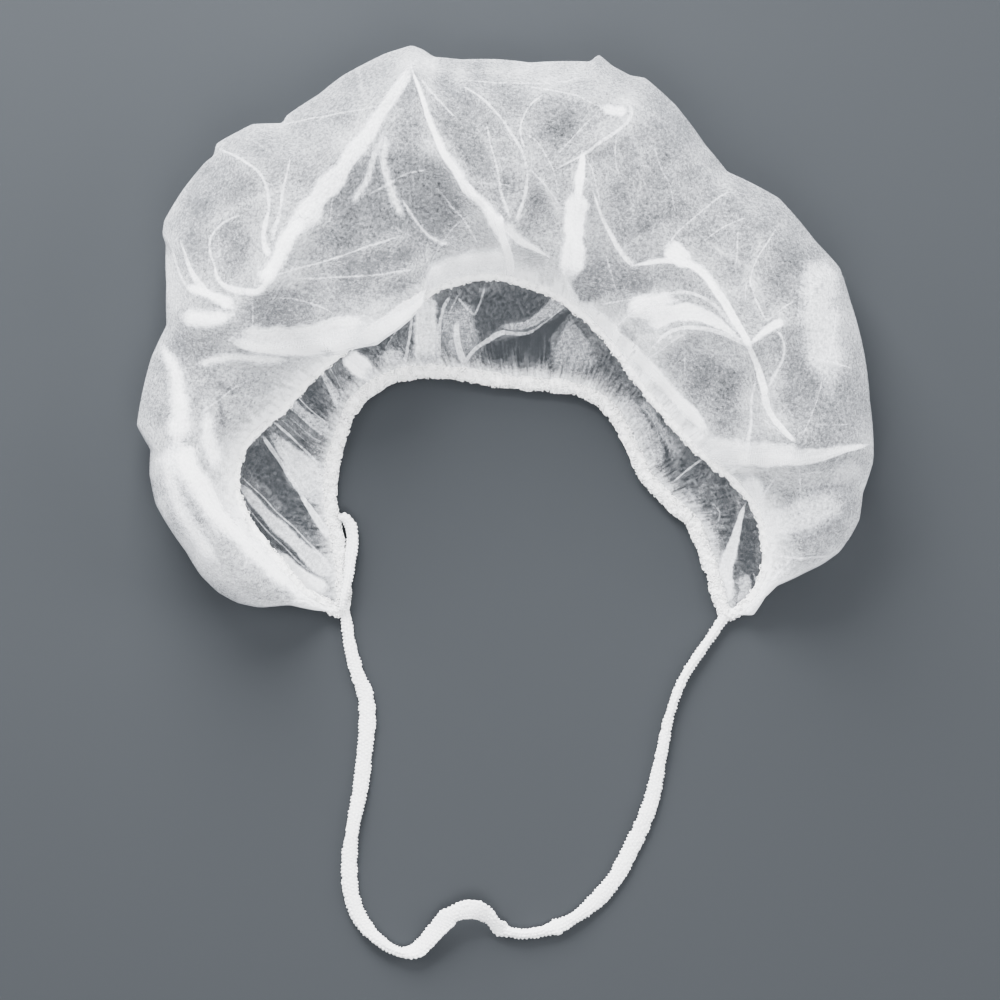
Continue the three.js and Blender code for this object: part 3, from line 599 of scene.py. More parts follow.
# %% Pleats of the back sheet, seen through the mouth
BACK_FOLDS = np.array([
    # across the left of the mouth
    (-56.6, -9.5, -53.2, -15.6, -49.6, -22.4, 1.2, 3.4, 0.64, 0.3, 0.4, 0),
    (-57, -9.2, -53.6, -15.3, -50.4, -21.8, 0.6, 0.6, 0.9, 0.2, 0.4, 0),
    (-53.8, -9.6, -50.8, -14.6, -48.4, -20, 0.4, 0.5, 0.76, 0.2, 0.3, 0),
    (-65.6, -19.6, -60.1, -24.6, -53.4, -30, 3.2, 4.2, 0.6, 0.4, 0.4, 0),
    (-63.4, -18.2, -58.3, -23.2, -53, -28, 0.6, 0.7, 0.92, 0.2, 0.4, 0),
    (-66.5, -21.1, -60.4, -26.2, -54.1, -31.6, 0.6, 0.7, 0.86, 0.2, 0.4, 0),
    (-64.6, -20.4, -59.2, -25.1, -53.5, -29.3, 0.4, 0.4, 0.8, 0.2, 0.2, 0),
    (-69.4, -24.4, -63.6, -29.4, -56.5, -35, 0.4, 0.4, 0.7, 0.2, 0.2, 0),
    (-67.8, -23, -61.8, -28, -55, -33.4, 0.4, 0.5, 0.68, 0.2, 0.2, 0),
    (-71.5, -28.5, -61.5, -40.5, -52.5, -50.5, 2.5, 17, 0.78, 0.4, 0.8, 0),
    (-70.2, -26.4, -62.5, -33.2, -55.4, -40.2, 0.9, 1, 0.95, 0.2, 0.5, 0),
    (-72.4, -31.1, -66.6, -40.2, -60.6, -50, 1.3, 1.6, 0.95, 0.2, 0.5, 0),
    (-61.6, -48.8, -57.2, -55.2, -52, -61.4, 1.6, 3, 0.92, 0.3, 0.5, 0),
    (-68.1, -32.3, -65.6, -37, -62.4, -42.2, 0.7, 0.8, 0.92, 0.2, 0.3, 0),
    (-79.5, -45.8, -66.8, -59.4, -52.5, -72.6, 3, 6.4, 0.76, 0.3, 0.6, 0),
    (-79.3, -43, -67, -55, -51, -71.2, 0.6, 0.8, 0.92, 0.2, 0.4, 0),
    (-79.3, -48.8, -70.8, -60.1, -58, -72, 0.6, 0.6, 0.84, 0.2, 0.4, 0),
    (-69, -65.4, -61.9, -72.8, -52.4, -79, 4, 8, 0.93, 0.6, 0.6, 0),
    # gathered middle
    (-48.8, -6.2, -44.6, -9.6, -39.4, -12.8, 6, 8, 0.96, 0.8, 0.5, 0),
    (-38, -10, -34, -7, -30, -9, 6, 6, 0.56, 2, 0.4, 0),
    (-24.6, 13, -24, 2, -24.6, -10, 7.4, 9, 0.8, 0.7, 0.6, 0),
    (-27.6, 10, -28.6, 0, -30, -10, 0.9, 1.4, 0.92, 0.3, 0.4, 0),
    (-36.1, -5.2, -32.6, 0.4, -28.6, 4.6, 0.5, 0.5, 0.76, 0.2, 0.4, 0),
    (-16.6, 10.6, -19.6, 3.4, -20, -9, 1.2, 1.8, 0.88, 0.3, 0.4, 0),
    (-14, 11.4, -17, 5.4, -19, 0, 0.5, 0.5, 0.8, 0.2, 0.4, 0),
    (-14.4, 3.4, -14.4, -3.2, -12.2, -9, 2.2, 2.4, 0.86, 0.4, 0.4, 0),
    (-14.4, 10.7, -12, 7.8, -9.4, 5.1, 0.8, 0.9, 0.84, 0.2, 0.4, 0),
    (-9.4, 5.1, -7.4, 9, -6.4, 13.6, 0.9, 0.8, 0.84, 0.2, 0.4, 0),
    (-16, 10.6, -14, 1.6, -12, -8.6, 12, 13, 0.52, 2, 0.4, 0),
    (-12, -8.6, -8.6, -4.6, -4.6, -1.8, 1.2, 2.2, 0.9, 0.3, 0.8, 0),
    (-5.2, -2.2, -2.4, -0.6, 0.4, -0.2, 2, 1.6, 0.93, 0.2, 0.8, 0),
    (-0.6, -0.2, 4.4, -0.3, 8.8, 0.9, 1.6, 0.9, 0.9, 0.2, 0.6, 0),
    (8.2, 0.7, 12.8, 3.7, 17.8, 7.6, 0.9, 0.6, 0.84, 0.2, 0.6, 0),
    (-1, 1.5, 8.4, 3.6, 17.4, 9.8, 1.8, 5.4, 0.58, 0.4, 0.6, 0),
    (19.6, 5.4, 20.1, -3.6, 20.1, -13, 1.2, 20, 0.53, 0.3, 0.4, 0),
    # along the right of the mouth
    (34, -19.4, 41, -27.6, 46.6, -38.4, 6, 6, 0.52, 1.6, 0.4, 0),
    (41, -20.4, 46.4, -28.6, 52.4, -36.6, 4, 4, 0.48, 1.4, 0.4, 0),
    (36.6, -20.6, 40.6, -28, 45, -39.6, 0.7, 0.8, 0.74, 0.3, 0.3, 0),
    (41.6, -22.6, 44.8, -28.4, 46.2, -33, 0.6, 0.6, 0.76, 0.3, 0.3, 0),
    (50.2, -44.6, 54.4, -41.2, 58.8, -38.2, 0.8, 0.8, 0.9, 0.2, 0.4, 0),
    (61.6, -50.9, 64.3, -54.1, 61.9, -57.8, 0.7, 0.6, 0.66, 0.3, 0.3, 0),
    (53, -46.6, 58.6, -54.6, 63, -64, 3, 4, 0.46, 1.4, 0.3, 0),
    # at the right corner
    (71.9, -51.6, 67.8, -65, 64.8, -81.5, 1.2, 7.4, 0.86, 0.3, 0.6, 0),
    (72, -51.6, 69.6, -62.2, 67.8, -74.6, 0.7, 0.8, 0.95, 0.2, 0.4, 0),
    (70.6, -71.8, 71.6, -76.8, 70, -82, 4.6, 4, 0.6, 0.6, 0.3, 0),
    (74, -72.6, 74.6, -77.4, 71.4, -82, 0.8, 1.2, 0.88, 0.3, 0.3, 0),
])
# places with a cover of their own, mostly thinner than what is round them: the same columns up to softness
BACK_THIN = np.array([
    (-74, -38, -66, -47, -55, -61, 8, 5, 0.11, 1),
    (-73.4, -57.5, -66.5, -64.5, -59.8, -71.2, 2, 2, 0.14, 0.6),
    (-60, -12, -56.6, -19.4, -52.6, -25, 5, 4, 0.1, 1),
    (-5.6, 6, 1, 8, 9, 9.6, 10, 7, 0.12, 1.5),
    (-3.2, -7.2, 2.9, -6.4, 8.6, -5, 8, 10, 0.03, 0.6),
    (7.4, -3.6, 12.8, 0.8, 18.8, 6, 6.5, 0.8, 0.03, 0.4),
    (28.3, -11.8, 31.3, -14.8, 34.4, -19.1, 5, 4, 0.17, 0.8),
    (45.5, -31, 48.2, -38, 49.6, -44.2, 2, 2.2, 0.06, 0.6),
    (71.6, -58, 72.4, -66, 71.4, -72, 4, 5, 0.12, 1),
])

print(f"{len(BACK_FOLDS)} pleats, {len(BACK_THIN)} places with a cover of their own")

# %% Broad swells of the front sheet
# x and y of three points in plan, rise, spread
SWELLS = np.array([
    (-28, 77, -46.7, 47, -70.6, 14, 4, 6), (-28, 77, -10.7, 45.8, 3, 16, 4, 6),
    (-12, 73, 5.9, 57.8, 1.4, 35, 3, 5), (37, 68, 24, 52.4, 21, 13, 3, 6),
    (28, 43, 48, 20.3, 73.4, -3.8, 3, 6), (73.4, -3.8, 79.4, -25, 87, -32, 3, 6),
    (78, 26.3, 75, 17, 78, 5, 2, 6), (95, 14, 88, 6, 82, -2, 2, 6),
    (-78, 50, -71, 35, -73, 14, 3, 6), (-98, 26, -94, 16, -89, 9, 2, 6),
    (-69, 14, -46.7, 22.4, -31.7, 26.3, 2, 5), (-97, 3, -72, 2, -44, 6, 4, 6),
    (-100, -8, -85, -11, -70, -12, -4, 6), (62, -31, 84, -34, 106, -31, 4, 6),
    (64, -43, 84, -46, 103, -43, -4, 6), (-98, -41, -86, -58, -68, -77, 3, 6),
    (-86, 42, -85, 32, -86, 22, -3, 9), (-36, 52, -30, 44, -24, 36, -4, 10),
    (44, 46, 56, 38, 64, 26, -3, 10),
])
print(f"{len(SWELLS)} swells and dents")


# %% Folds in a sheet's own points
def line_distance(places, line):
    """Distance of each place from a bent line, and the share of the line at its nearest point."""
    best = np.full(len(places), np.inf)
    share = np.zeros(len(places))
    for k, (start, end) in enumerate(zip(line[:-1], line[1:])):
        step = end - start
        t = np.clip((places - start) @ step / (step @ step), 0, 1)
        gap = np.linalg.norm(places - start - t[:, None] * step, axis=1)
        share = np.where(gap < best, (k + t) / (len(line) - 1), share)
        best = np.minimum(best, gap)
    return best, share


def arcs(folds, t):
    """Points on the parabola through each fold's three points, which it meets at t = 0, 0.5 and 1."""
    t = t[:, None]
    first, middle, last = folds[:, None, 0:2], folds[:, None, 2:4], folds[:, None, 4:6]
    return first * (1 - t) * (1 - 2 * t) + middle * 4 * t * (1 - t) + last * t * (2 * t - 1)


def folds_near(seen, folds):
    """For each fold, the places near it, their distance from its line and half its width there."""
    for row, line in zip(folds, arcs(folds, np.linspace(0, 1, 13))):
        reach = max(row[START_WIDTH], row[END_WIDTH]) / 2 + 3 * row[SOFT] + 6
        near = np.all((seen > line.min(axis=0) - reach) & (seen < line.max(axis=0) + reach), axis=1)
        gap, share = line_distance(seen[near], line)
        yield row, near, gap, (row[START_WIDTH] + (row[END_WIDTH] - row[START_WIDTH]) * share) / 2


def fold_rise(points, folds, skirt=1.4):
    """How far the folds lift a sheet: each rise falls off like a bell over a skirt beyond the fold."""
    rise = np.zeros(points[..., 0].size)
    for row, near, gap, half in folds_near(as_seen(points).reshape(-1, 2), folds):
        rise[near] += row[RISE] * np.exp(-((gap / (half + skirt)) ** 2))
    return rise.reshape(points.shape[:2])


def thin_out(points, cover, places):
    """Cover of a sheet after each place has set its own, fading over its softness."""
    cover = cover.ravel().copy()
    for row, near, gap, half in folds_near(as_seen(points).reshape(-1, 2), places):
        inside = 1 - smoothstep(gap, half - row[SOFT] * 0.4, half + row[SOFT])
        cover[near] += inside * (row[COVER] - cover[near])
    return cover.reshape(points.shape[:2])


def swell_rise(points):
    """Sum of the broad swells, each a ridge or dent round its bent line."""
    plan = points[..., :2].reshape(-1, 2)
    total = np.zeros(len(plan))
    for *line, rise, spread in SWELLS:
        gap, _ = line_distance(plan, np.reshape(line, (3, 2)))
        total += rise * np.exp(-((gap / spread) ** 1.4))
    return total.reshape(points.shape[:2])


def crumple(places, cells):
    """Creased facets: the ridge height from 0 to 1 between random cells, and how crisp each ridge is.

    A ridge runs where the two nearest cell middles are equally far, so ridges are straight and meet in
    corners, as in crushed paper.
    """
    low, high = places.reshape(-1, 2).min(axis=0), places.reshape(-1, 2).max(axis=0)
    middles = chance.uniform(low, high, (cells, 2))
    strength = chance.uniform(0, 1, cells)
    flat = places.reshape(-1, 2)
    ridge, crisp = np.zeros(len(flat)), np.zeros(len(flat))
    for part in np.array_split(np.arange(len(flat)), 12):
        far = np.linalg.norm(flat[part, None] - middles, axis=2)
        nearest = np.argpartition(far, 1, axis=1)[:, :2]
        two = np.sort(np.take_along_axis(far, nearest, axis=1), axis=1)
        ridge[part] = np.exp(-(two[:, 1] - two[:, 0]) / 6)
        crisp[part] = np.exp(-(two[:, 1] - two[:, 0]) / 0.9) * strength[nearest].prod(axis=1)
    return ridge.reshape(places.shape[:2]), crisp.reshape(places.shape[:2])


def gathers(across, lip_distance, count, height, reach):
    """Ruffle of cloth gathered on elastic: waves along the lip, strongest a little way in from it."""
    wave = np.sin(2 * np.pi * (count * across + 0.35 * np.sin(2 * np.pi * 5 * across)))
    share = lip_distance / reach
    return height * wave[:, None] * 3 * share * np.exp(-3 * share * share)


def levelness(points):
    """How level a sheet lies at each point: 1 is flat, 0 is upright."""
    normal = np.cross(np.gradient(points, axis=0), np.gradient(points, axis=1))
    return np.abs(normal[..., 2]) / np.maximum(np.linalg.norm(normal, axis=2), 1e-9)


fold_steps = np.diff(arcs(FRONT_FOLDS, np.linspace(0, 1, 13)), axis=1)
fold_lengths = np.linalg.norm(fold_steps, axis=2).sum(axis=1)
print(f"Front folds are {fold_lengths.min():.0f} to {fold_lengths.max():.0f} mm long")


# %% Folds as layers on a sheet
# points along and across a layer, and how far it runs past both ends of its fold
FOLD_STEPS, FOLD_SIDES, OVERRUN = 57, 13, 0.1
# a layer's height over its sheet, and the share of its cover that the narrowest fold keeps
LAYER_LIFT = 0.12
FAINTEST = 0.58
step_share = np.linspace(-OVERRUN, 1 + OVERRUN, FOLD_STEPS)
side_share = np.linspace(-1, 1, FOLD_SIDES)


def rib_heights(points, steps=160):
    """A sheet's heights at even steps along each rib, and the distances of each rib's start and end."""
    far = np.linalg.norm(points[..., :2] - FAN, axis=2)
    heights, reach = np.empty((len(far), steps)), np.empty((len(far), 2))
    for rib, (distance, height) in enumerate(zip(far, points[..., 2])):
        first, last = sorted((distance.argmin(), distance.argmax()))
        order = first + np.argsort(distance[first : last + 1])
        reach[rib] = distance[order[[0, -1]]]
        heights[rib] = np.interp(np.linspace(*reach[rib], steps), distance[order], height[order])
    return heights, reach


def height_on(ribs, plan):
    """Height of a sheet at places in plan, from the nearest steps of its ribs, and whether it is there."""
    heights, reach = ribs
    offset = plan - FAN
    turn = np.degrees(np.arctan2(offset[..., 1], offset[..., 0]))
    turn = np.where(turn < -90, turn + 360, turn)
    rib = np.clip((turn - LEFT_TURN) / (RIGHT_TURN - LEFT_TURN), 0, 1) * (len(heights) - 1)
    i = np.minimum(rib.astype(int), len(heights) - 2)
    between = rib - i
    span = reach[i] * (1 - between[..., None]) + reach[i + 1] * between[..., None]
    inner, outer = np.moveaxis(span, -1, 0)
    distance = np.linalg.norm(offset, axis=-1)
    there = smoothstep(distance - inner, -0.3, 0.5) * (1 - smoothstep(distance - outer, -0.8, 0))
    step = np.clip((distance - inner) / (outer - inner), 0, 1) * (heights.shape[1] - 1)
    j = np.minimum(step.astype(int), heights.shape[1] - 2)
    part = step - j
    near = heights[i, j] * (1 - part) + heights[i, j + 1] * part
    far = heights[i + 1, j] * (1 - part) + heights[i + 1, j + 1] * part
    return near * (1 - between) + far * between, there


def fold_strips(folds):
    """Strips as the camera sees them, their half widths and lengths, and how full they are at each step.

    A strip narrows at its ends, and its line and its width wander a little.
    """
    line = arcs(folds, step_share)
    ahead = unit(np.gradient(line, axis=1))
    left = np.stack([-ahead[..., 1], ahead[..., 0]], axis=-1)
    length = np.linalg.norm(np.diff(line, axis=1), axis=2).sum(axis=1, keepdims=True)
    widths = folds[:, START_WIDTH : END_WIDTH + 1]
    half = (widths[:, :1] + (widths[:, 1:] - widths[:, :1]) * step_share) / 2
    fade = np.clip(widths.max(axis=1, keepdims=True) / length, 0.2, 0.4)
    full = smoothstep((0.5 + OVERRUN - np.abs(step_share - 0.5)) / fade, 0, 1)
    half = half * (0.2 + 0.8 * full) * (1 + 0.12 * wobble(line, 9) + 0.05 * wobble(line, 3))
    line = line + left * (0.3 * wobble(line, 13))[..., None]
    seen = line[:, :, None] + left[:, :, None] * (half[..., None] * side_share)[..., None]
    return seen, half, length, full


def drop_on(points, seen):
    """Points on a sheet that the camera sees at given places, and whether the sheet is there.

    A place in plan depends on the sheet's height there, so the two are found in turns.
    """
    ribs = rib_heights(points)
    height = np.full(seen.shape[:-1], points[..., 2].mean())
    for _ in range(4):
        plan = AIM + (seen - AIM) * ((eye_height - height) / (eye_height - FRAME_PLANE))[..., None]
        height, there = height_on(ribs, plan)
    return np.concatenate([plan, (height + LAYER_LIFT)[..., None]], axis=-1), there


def layer_cover(folds, half, sheet_cover):
    """Cover of each layer, which brings the sheet's cover up to the fold's, less for a narrow fold."""
    crisp_side = folds[:, CRISP, None, None]
    edge = np.clip(folds[:, SOFT, None] / np.maximum(half, 0.1), 0.3, 0.95)[..., None]
    inside = 1 - smoothstep(np.abs(side_share), 1 - edge, 1)
    fading = smoothstep(side_share * crisp_side, -1, 0)
    inside = inside * np.where(crisp_side == 0, 1, fading)
    own = np.clip(1 - (1 - folds[:, COVER]) / (1 - sheet_cover), 0, 1)
    width = folds[:, START_WIDTH : END_WIDTH + 1].mean(axis=1)
    own = own * (FAINTEST + (1 - FAINTEST) * smoothstep(width, 0.8, 3.4))
    return own[:, None, None] * inside


def fold_layers(name, points, folds, sheet_cover):
    """Narrow layers of cloth that lie on a sheet, one grid for each fold."""
    seen, half, length, full = fold_strips(folds)
    layer, there = drop_on(points, seen)
    cover = layer_cover(folds, half, sheet_cover) * full[..., None] * there
    run = np.broadcast_to((length * step_share)[..., None] * 0.003, cover.shape)
    start = chance.uniform(0, 1, len(folds))[:, None, None]
    lay = np.stack([half[..., None] * side_share * 0.005 + start, run], axis=-1)
    piece = grid_mesh(name, layer, {"cover": cover, "pull": 0.25 * cover}, uv=lay)
    settle(piece)
    return piece


def packet_creases(count):
    """Rows of fine straight creases at random places of the front sheet, in the columns of its folds."""
    ends = np.array([[-1], [0], [1]])
    turns = chance.uniform(4, 186, count) + ends * chance.uniform(-6, 6, count)
    share = chance.uniform(0.18, 0.8, count) + ends * chance.uniform(-0.14, 0.14, count)
    lip = np.interp(turns, SECTIONS[:, 0], SECTIONS[:, 2]) + 4
    far = lip + (np.interp(turns, *EDGE.T) - 3 - lip) * np.clip(share, 0.02, 0.98)
    first, middle, last = fan_point(turns, far, 0 * far)[..., :2]
    width, cover = chance.uniform(0.5, 0.9, count), chance.uniform(0.66, 0.78, count)
    soft = rise = np.full(count, 0.3)
    return np.column_stack([first, middle, last, width, width, cover, soft, rise, 0 * width])


print(f"Each fold is a layer of {FOLD_STEPS} by {FOLD_SIDES} points")

# %% [markdown]
# ## Front sheet
#
# The front sheet is the puffed upper side. It starts on the table, turns up round the outer edge and ends
# at the upper lip. Order matters: the plain form, then the broad swells, the crushed facets, the folds
# and last the gathers, which tie the sheet down to the elastic. Two marks travel with each point: `cover`,
# how closely the fibres lie, and `pull`, how hard the elastic gathers the cloth there. Cloth seen at a
# slant covers more, so the cover goes up where the sheet stands upright.

# %% Front sheet
# cover of the open sheet, of the wall under its outer edge and of the gathered lip
FRONT_COVER, WALL_COVER, LIP_COVER = 0.32, 0.29, 0.97
# lowest height of the cloth over the table
CLOTH_CLEARANCE = 0.25


def corner_room(across):
    """Room for a sheet to lift: 1 in the middle and almost 0 at the two corners of the mouth."""
    return (np.sin(np.pi * np.clip(across, 0.001, 0.999)) ** 0.4)[:, None]


def flat_place(across, along):
    """Place of each point on the flat cloth, from 0 to 1 both ways."""
    return np.stack(np.broadcast_arrays(across[:, None], along[None]), axis=-1)


def square_centimetres(piece):
    """Area of a sheet."""
    return sum(face.area for face in piece.data.polygons) * 1e4


across = np.linspace(0, 1, 640)
along = np.concatenate([np.linspace(SEAM, 0.48, 14, endpoint=False), np.linspace(0.48, 1, 136)])
room = corner_room(across)
top_side = smoothstep(along, 0.5, 0.64)
held = 1 - smoothstep(along, 0.9, 1)

points = pouch_form(across, along)
points[..., 2] += swell_rise(points) * top_side * held * room
lip_distance = np.linalg.norm(points - points[:, -1:], axis=2)
seen = as_seen(points)
ridge, crisp = crumple(seen, 170)
front_folds = np.vstack([FRONT_FOLDS, packet_creases(34)])
shape = (0.9 * ridge + 0.5 * wobble(seen, 14) + fold_rise(points, FRONT_FOLDS)) * top_side * held
fine = gathers(across, lip_distance, 27, 1.5, 13) + gathers(across, lip_distance, 83, 0.5, 8)
points[..., 2] = np.maximum(points[..., 2] + (shape + fine * top_side) * room, CLOTH_CLEARANCE)

swell = 0.07 * wobble(seen, 32) + 0.045 * wobble(seen, 11)
swell = swell + 0.07 * np.minimum(fold_rise(points, FRONT_FOLDS, 3.6), 2)
fuller = FRONT_COVER - WALL_COVER + swell + 0.2 * crisp
cover = WALL_COVER + fuller * smoothstep(along, 0.42, 0.6)
cover = cover + (LIP_COVER - cover) * np.exp(-((lip_distance / 9.5) ** 1.6))
cover = thin_out(points, cover, FRONT_THIN)
layers = 1 / np.clip(levelness(points), 0.3, 1)
cover = 1 - (1 - np.clip(cover, 0, 0.99)) ** (layers**0.35)
pull = np.exp(-((lip_distance / 9) ** 1.3)) * smoothstep(along, 0.6, 0.8)
marks = {"cover": cover, "pull": pull}
front = grid_mesh("front_sheet", points, marks, uv=flat_place(across, along))
settle(front, "net_front")
front_layers = fold_layers("front_folds", points, front_folds, FRONT_COVER)
print(f"Front sheet {square_centimetres(front):.0f} square centimetres")

# %% [markdown]
# ## Back sheet
#
# The back sheet lies on the table. Only its strip inside the mouth is in the open, a single layer, so the
# table shows through it and its pleats stand out as pale bars. Its rows crowd towards the lower lip, where
# the gathers are.

# %% Back sheet
BACK_COVER, BACK_LIP_COVER = 0.2, 0.96
across = np.linspace(0, 1, 560)
along = SEAM * np.linspace(0, 1, 100) ** 1.35
points = pouch_form(across, along)
lip_distance = np.linalg.norm(points - points[:, :1], axis=2)
seen = as_seen(points)
ridge, crisp = crumple(seen, 260)
cover = BACK_COVER + 0.05 * wobble(seen, 12) + 0.03 * wobble(seen, 4) + 0.2 * crisp
cover = thin_out(points, cover, BACK_THIN)
cover = cover + (BACK_LIP_COVER - cover) * np.exp(-((lip_distance / 4.4) ** 1.6))
fine = gathers(across, lip_distance, 27, 1.5, 13) + gathers(across, lip_distance, 97, 0.6, 7)
lift = fold_rise(points, BACK_FOLDS) + np.maximum(fine, 0) * corner_room(across)
lift = lift + 0.5 * ridge * smoothstep(lip_distance, 0, 6)
points[..., 2] = np.maximum(points[..., 2] + lift, 0) + CLOTH_CLEARANCE
pull = 0.7 * np.exp(-((lip_distance / 8) ** 1.3))
marks = {"cover": np.clip(cover, 0.03, 0.99), "pull": pull}
back = grid_mesh("back_sheet", points, marks, uv=flat_place(across, along))
settle(back, "net_back")
back_layers = fold_layers("back_pleats", points, BACK_FOLDS, BACK_COVER)
print(f"Back sheet {square_centimetres(back):.0f} square centimetres")

# %% [markdown]
# ## Elastic round the mouth
#
# The elastic is one knitted band sewn round the whole mouth. Relaxed, it bunches up like terry: its yarn
# stands up in small loops on every side. A bumpy texture would do from afar, but the loops show in the
# outline too, so they are made: a lumpy core, and on it a few thousand half rings of yarn in random
# directions. The band is wider along the lower lip, which lies flat on the table, and thinner along the
# upper lip, where the cloth hangs from it.

# %% Elastic
# height of the band's middle where it lies on the table, half its width and height there, yarn's radius
BAND_HEIGHT, BAND_HALF_WIDTH, BAND_HALF_HEIGHT, YARN = 1.9, 1.75, 1.25, 0.17
BAND_CLEARANCE = 0.1
# a small lump on the lower lip, as where the ends of a band are joined
KNOT = (-1.05, -17.7, BAND_HEIGHT)
turns, lower, upper, lip, _ = SECTIONS[1:-1].T
low = np.full_like(lower, BAND_HEIGHT)
low_side = fan_point(turns, lower, low)[::-1]
high_side = fan_point(turns, upper, lip - 0.5)
right_corner = fan_point(turns[:1] - 3.4, lower[:1] + 3.7, low[:1])
left_corner = fan_point(turns[-1:] + 3.0, lower[-1:] + 2.9, low[-1:])
ring = spline(np.vstack([low_side, right_corner, high_side, left_corner]), 1500, closed=True)
ring_length = np.linalg.norm(np.diff(ring, axis=0), axis=1).sum()
gone = np.linspace(0, ring_length, len(ring), endpoint=False)
on_upper = smoothstep(gone / ring_length, 0.4, 0.44) - smoothstep(gone / ring_length, 0.97, 1)
half_width = BAND_HALF_WIDTH - 0.5 * on_upper + 0.2 * wobble(gone[:, None] * [[1, 0]], 8)
half_height = BAND_HALF_HEIGHT - 0.2 * on_upper


def lumps(sides):
    """Irregular lumps of a bunched elastic, many waves along it that slant round it, and its knot."""
    count = 50
    wave, slant = chance.integers(40, 300, count), chance.integers(-3, 4, count)
    angle = np.linspace(0, 2 * np.pi, sides, endpoint=False)
    turn = 2 * np.pi * gone[:, None, None] / ring_length * wave + slant * angle[:, None]
    height = (np.sin(turn + chance.uniform(0, 6.3, count)) / np.sqrt(count)).sum(axis=2)
    knot = np.exp(-(((ring - KNOT) / 1.3) ** 2).sum(axis=1))
    return (0.2 - 0.08 * on_upper[:, None]) * height + 0.9 * knot[:, None]


def yarn_loops(count):
    """Half rings of yarn that stand on the elastic's top and sides, as a stack of small tubes.

    Each loop is an arc in a plane through the way out of the band and a random direction along it, and
    its tube runs round that arc. Few stand on the upper lip, where cloth covers the elastic.
    """
    often = 1 - 0.85 * on_upper
    at = chance.choice(len(ring), count, p=often / often.sum())
    angle = chance.uniform(-0.4, np.pi + 0.4, count)
    ahead, wide, tall = (way[at] for way in cross_frame(ring, np.zeros(len(ring))))
    x, y = half_width[at] * np.cos(angle), half_height[at] * np.sin(angle)
    foot = ring[at] + x[:, None] * wide + y[:, None] * tall
    out_x, out_y = x / half_width[at] ** 2, y / half_height[at] ** 2
    out = unit(out_x[:, None] * wide + out_y[:, None] * tall)
    heading = chance.uniform(0, np.pi, count)[:, None]
    along = np.cos(heading) * ahead + np.sin(heading) * np.cross(out, ahead)
    size = chance.uniform(0.3, 0.62, count)[:, None, None]
    bow = np.linspace(0, np.pi, 6)[:, None]
    spoke = along[:, None] * np.cos(bow) + out[:, None] * np.sin(bow)
    arc = foot[:, None] + size * spoke - 0.12 * out[:, None]
    round_yarn = np.linspace(0, 2 * np.pi, 5, endpoint=False)[:, None]
    beside = np.cross(along, out)[:, None, None]
    tubes = arc[:, :, None] + YARN * (spoke[:, :, None] * np.cos(round_yarn) + beside * np.sin(round_yarn))
    tubes[..., 2] = np.maximum(tubes[..., 2], BAND_CLEARANCE)
    return tubes


core = tube(ring, half_width, half_height, np.zeros_like(gone), lumps(20))
core[..., 2] = np.maximum(core[..., 2], BAND_CLEARANCE)
elastic = grid_mesh("elastic", core, {"groove_shade_and_tone": np.full(core.shape[:2], 0.95)}, wrap=(True, True))
loops = yarn_loops(3600)
tones = np.broadcast_to(chance.uniform(0.8, 1.2, len(loops))[:, None, None], loops.shape[:-1])
yarn = grid_mesh("elastic_yarn", loops, {"groove_shade_and_tone": tones}, wrap=(False, True))
settle(elastic, "mouth_elastic")
settle(yarn)
print(f"Elastic {ring_length:.0f} mm round")

# %% [markdown]
# ## Nonwoven finish
#
# Spunbond cloth is a felt of fine endless fibres. Close up there is no weave: fibres cross at random and
# clump together, and the table shows between them. So the finish is mostly the Alpha input, the share of
# white fibre that a ray meets. The tables give the cover as the eye judges it. White shows strongly on
# grey, so cloth that looks a third covered holds far less fibre, and a power turns one into the other.
#
# The node group makes that share uneven with a fine noise and three lays of long streaks, and adds the
# lines that gathering pulls into the cloth. More layers leave less room for holes, so the noise is
# strongest at half cover.
#
# Two things follow from cloth that lets light through. Its slopes shade little, so its normals are pressed
# almost level, except where it overhangs. And slanting light crosses more fibre than the eye does from
# above, so for every ray but the camera's a sheet counts as about three layers. The layers of the folds
# are left out of that, or each would draw a line of shade on the table.


# %% Fibre web, with helpers for its nodes
def wire(tree, socket, value):
    """Feeds a socket from another socket, or sets it to a constant."""
    if isinstance(value, bpy.types.NodeSocket):
        tree.links.new(value, socket)
    else:
        socket.default_value = value


def calculate(tree, operation, *values, clamp=False):
    """Math node on sockets or numbers; returns its output."""
    node = tree.nodes.new("ShaderNodeMath")
    node.operation = operation
    node.use_clamp = clamp
    for socket, value in zip(node.inputs, values):
        wire(tree, socket, value)
    return node.outputs[0]


def noise(tree, vector, scale, detail):
    """Noise texture's value, from about 0.2 to 0.8."""
    node = tree.nodes.new("ShaderNodeTexNoise")
    wire(tree, node.inputs["Vector"], vector)
    node.inputs["Scale"].default_value = scale
    node.inputs["Detail"].default_value = detail
    return node.outputs[0]


def new_group(name, inputs, outputs):
    """Node group with the given sockets; returns it with its input and output nodes."""
    group = bpy.data.node_groups.new(name, "ShaderNodeTree")
    for label, kind in inputs:
        group.interface.new_socket(label, in_out="INPUT", socket_type=kind)
    for label, kind in outputs:
        group.interface.new_socket(label, in_out="OUTPUT", socket_type=kind)
    return group, group.nodes.new("NodeGroupInput"), group.nodes.new("NodeGroupOutput")


def colour_mix(tree, share, first, second):
    """Colour between two, by share."""
    node = tree.nodes.new("ShaderNodeMix")
    node.data_type = "RGBA"
    wire(tree, node.inputs[0], share)
    wire(tree, node.inputs[6], first)
    wire(tree, node.inputs[7], second)
    return node.outputs[2]


FLOAT, VECTOR = "NodeSocketFloat", "NodeSocketVector"
# power from the cover that the eye judges to the share of fibre, and scale of the clumps
EYE_POWER = 1.6
CLUMPS = 1050
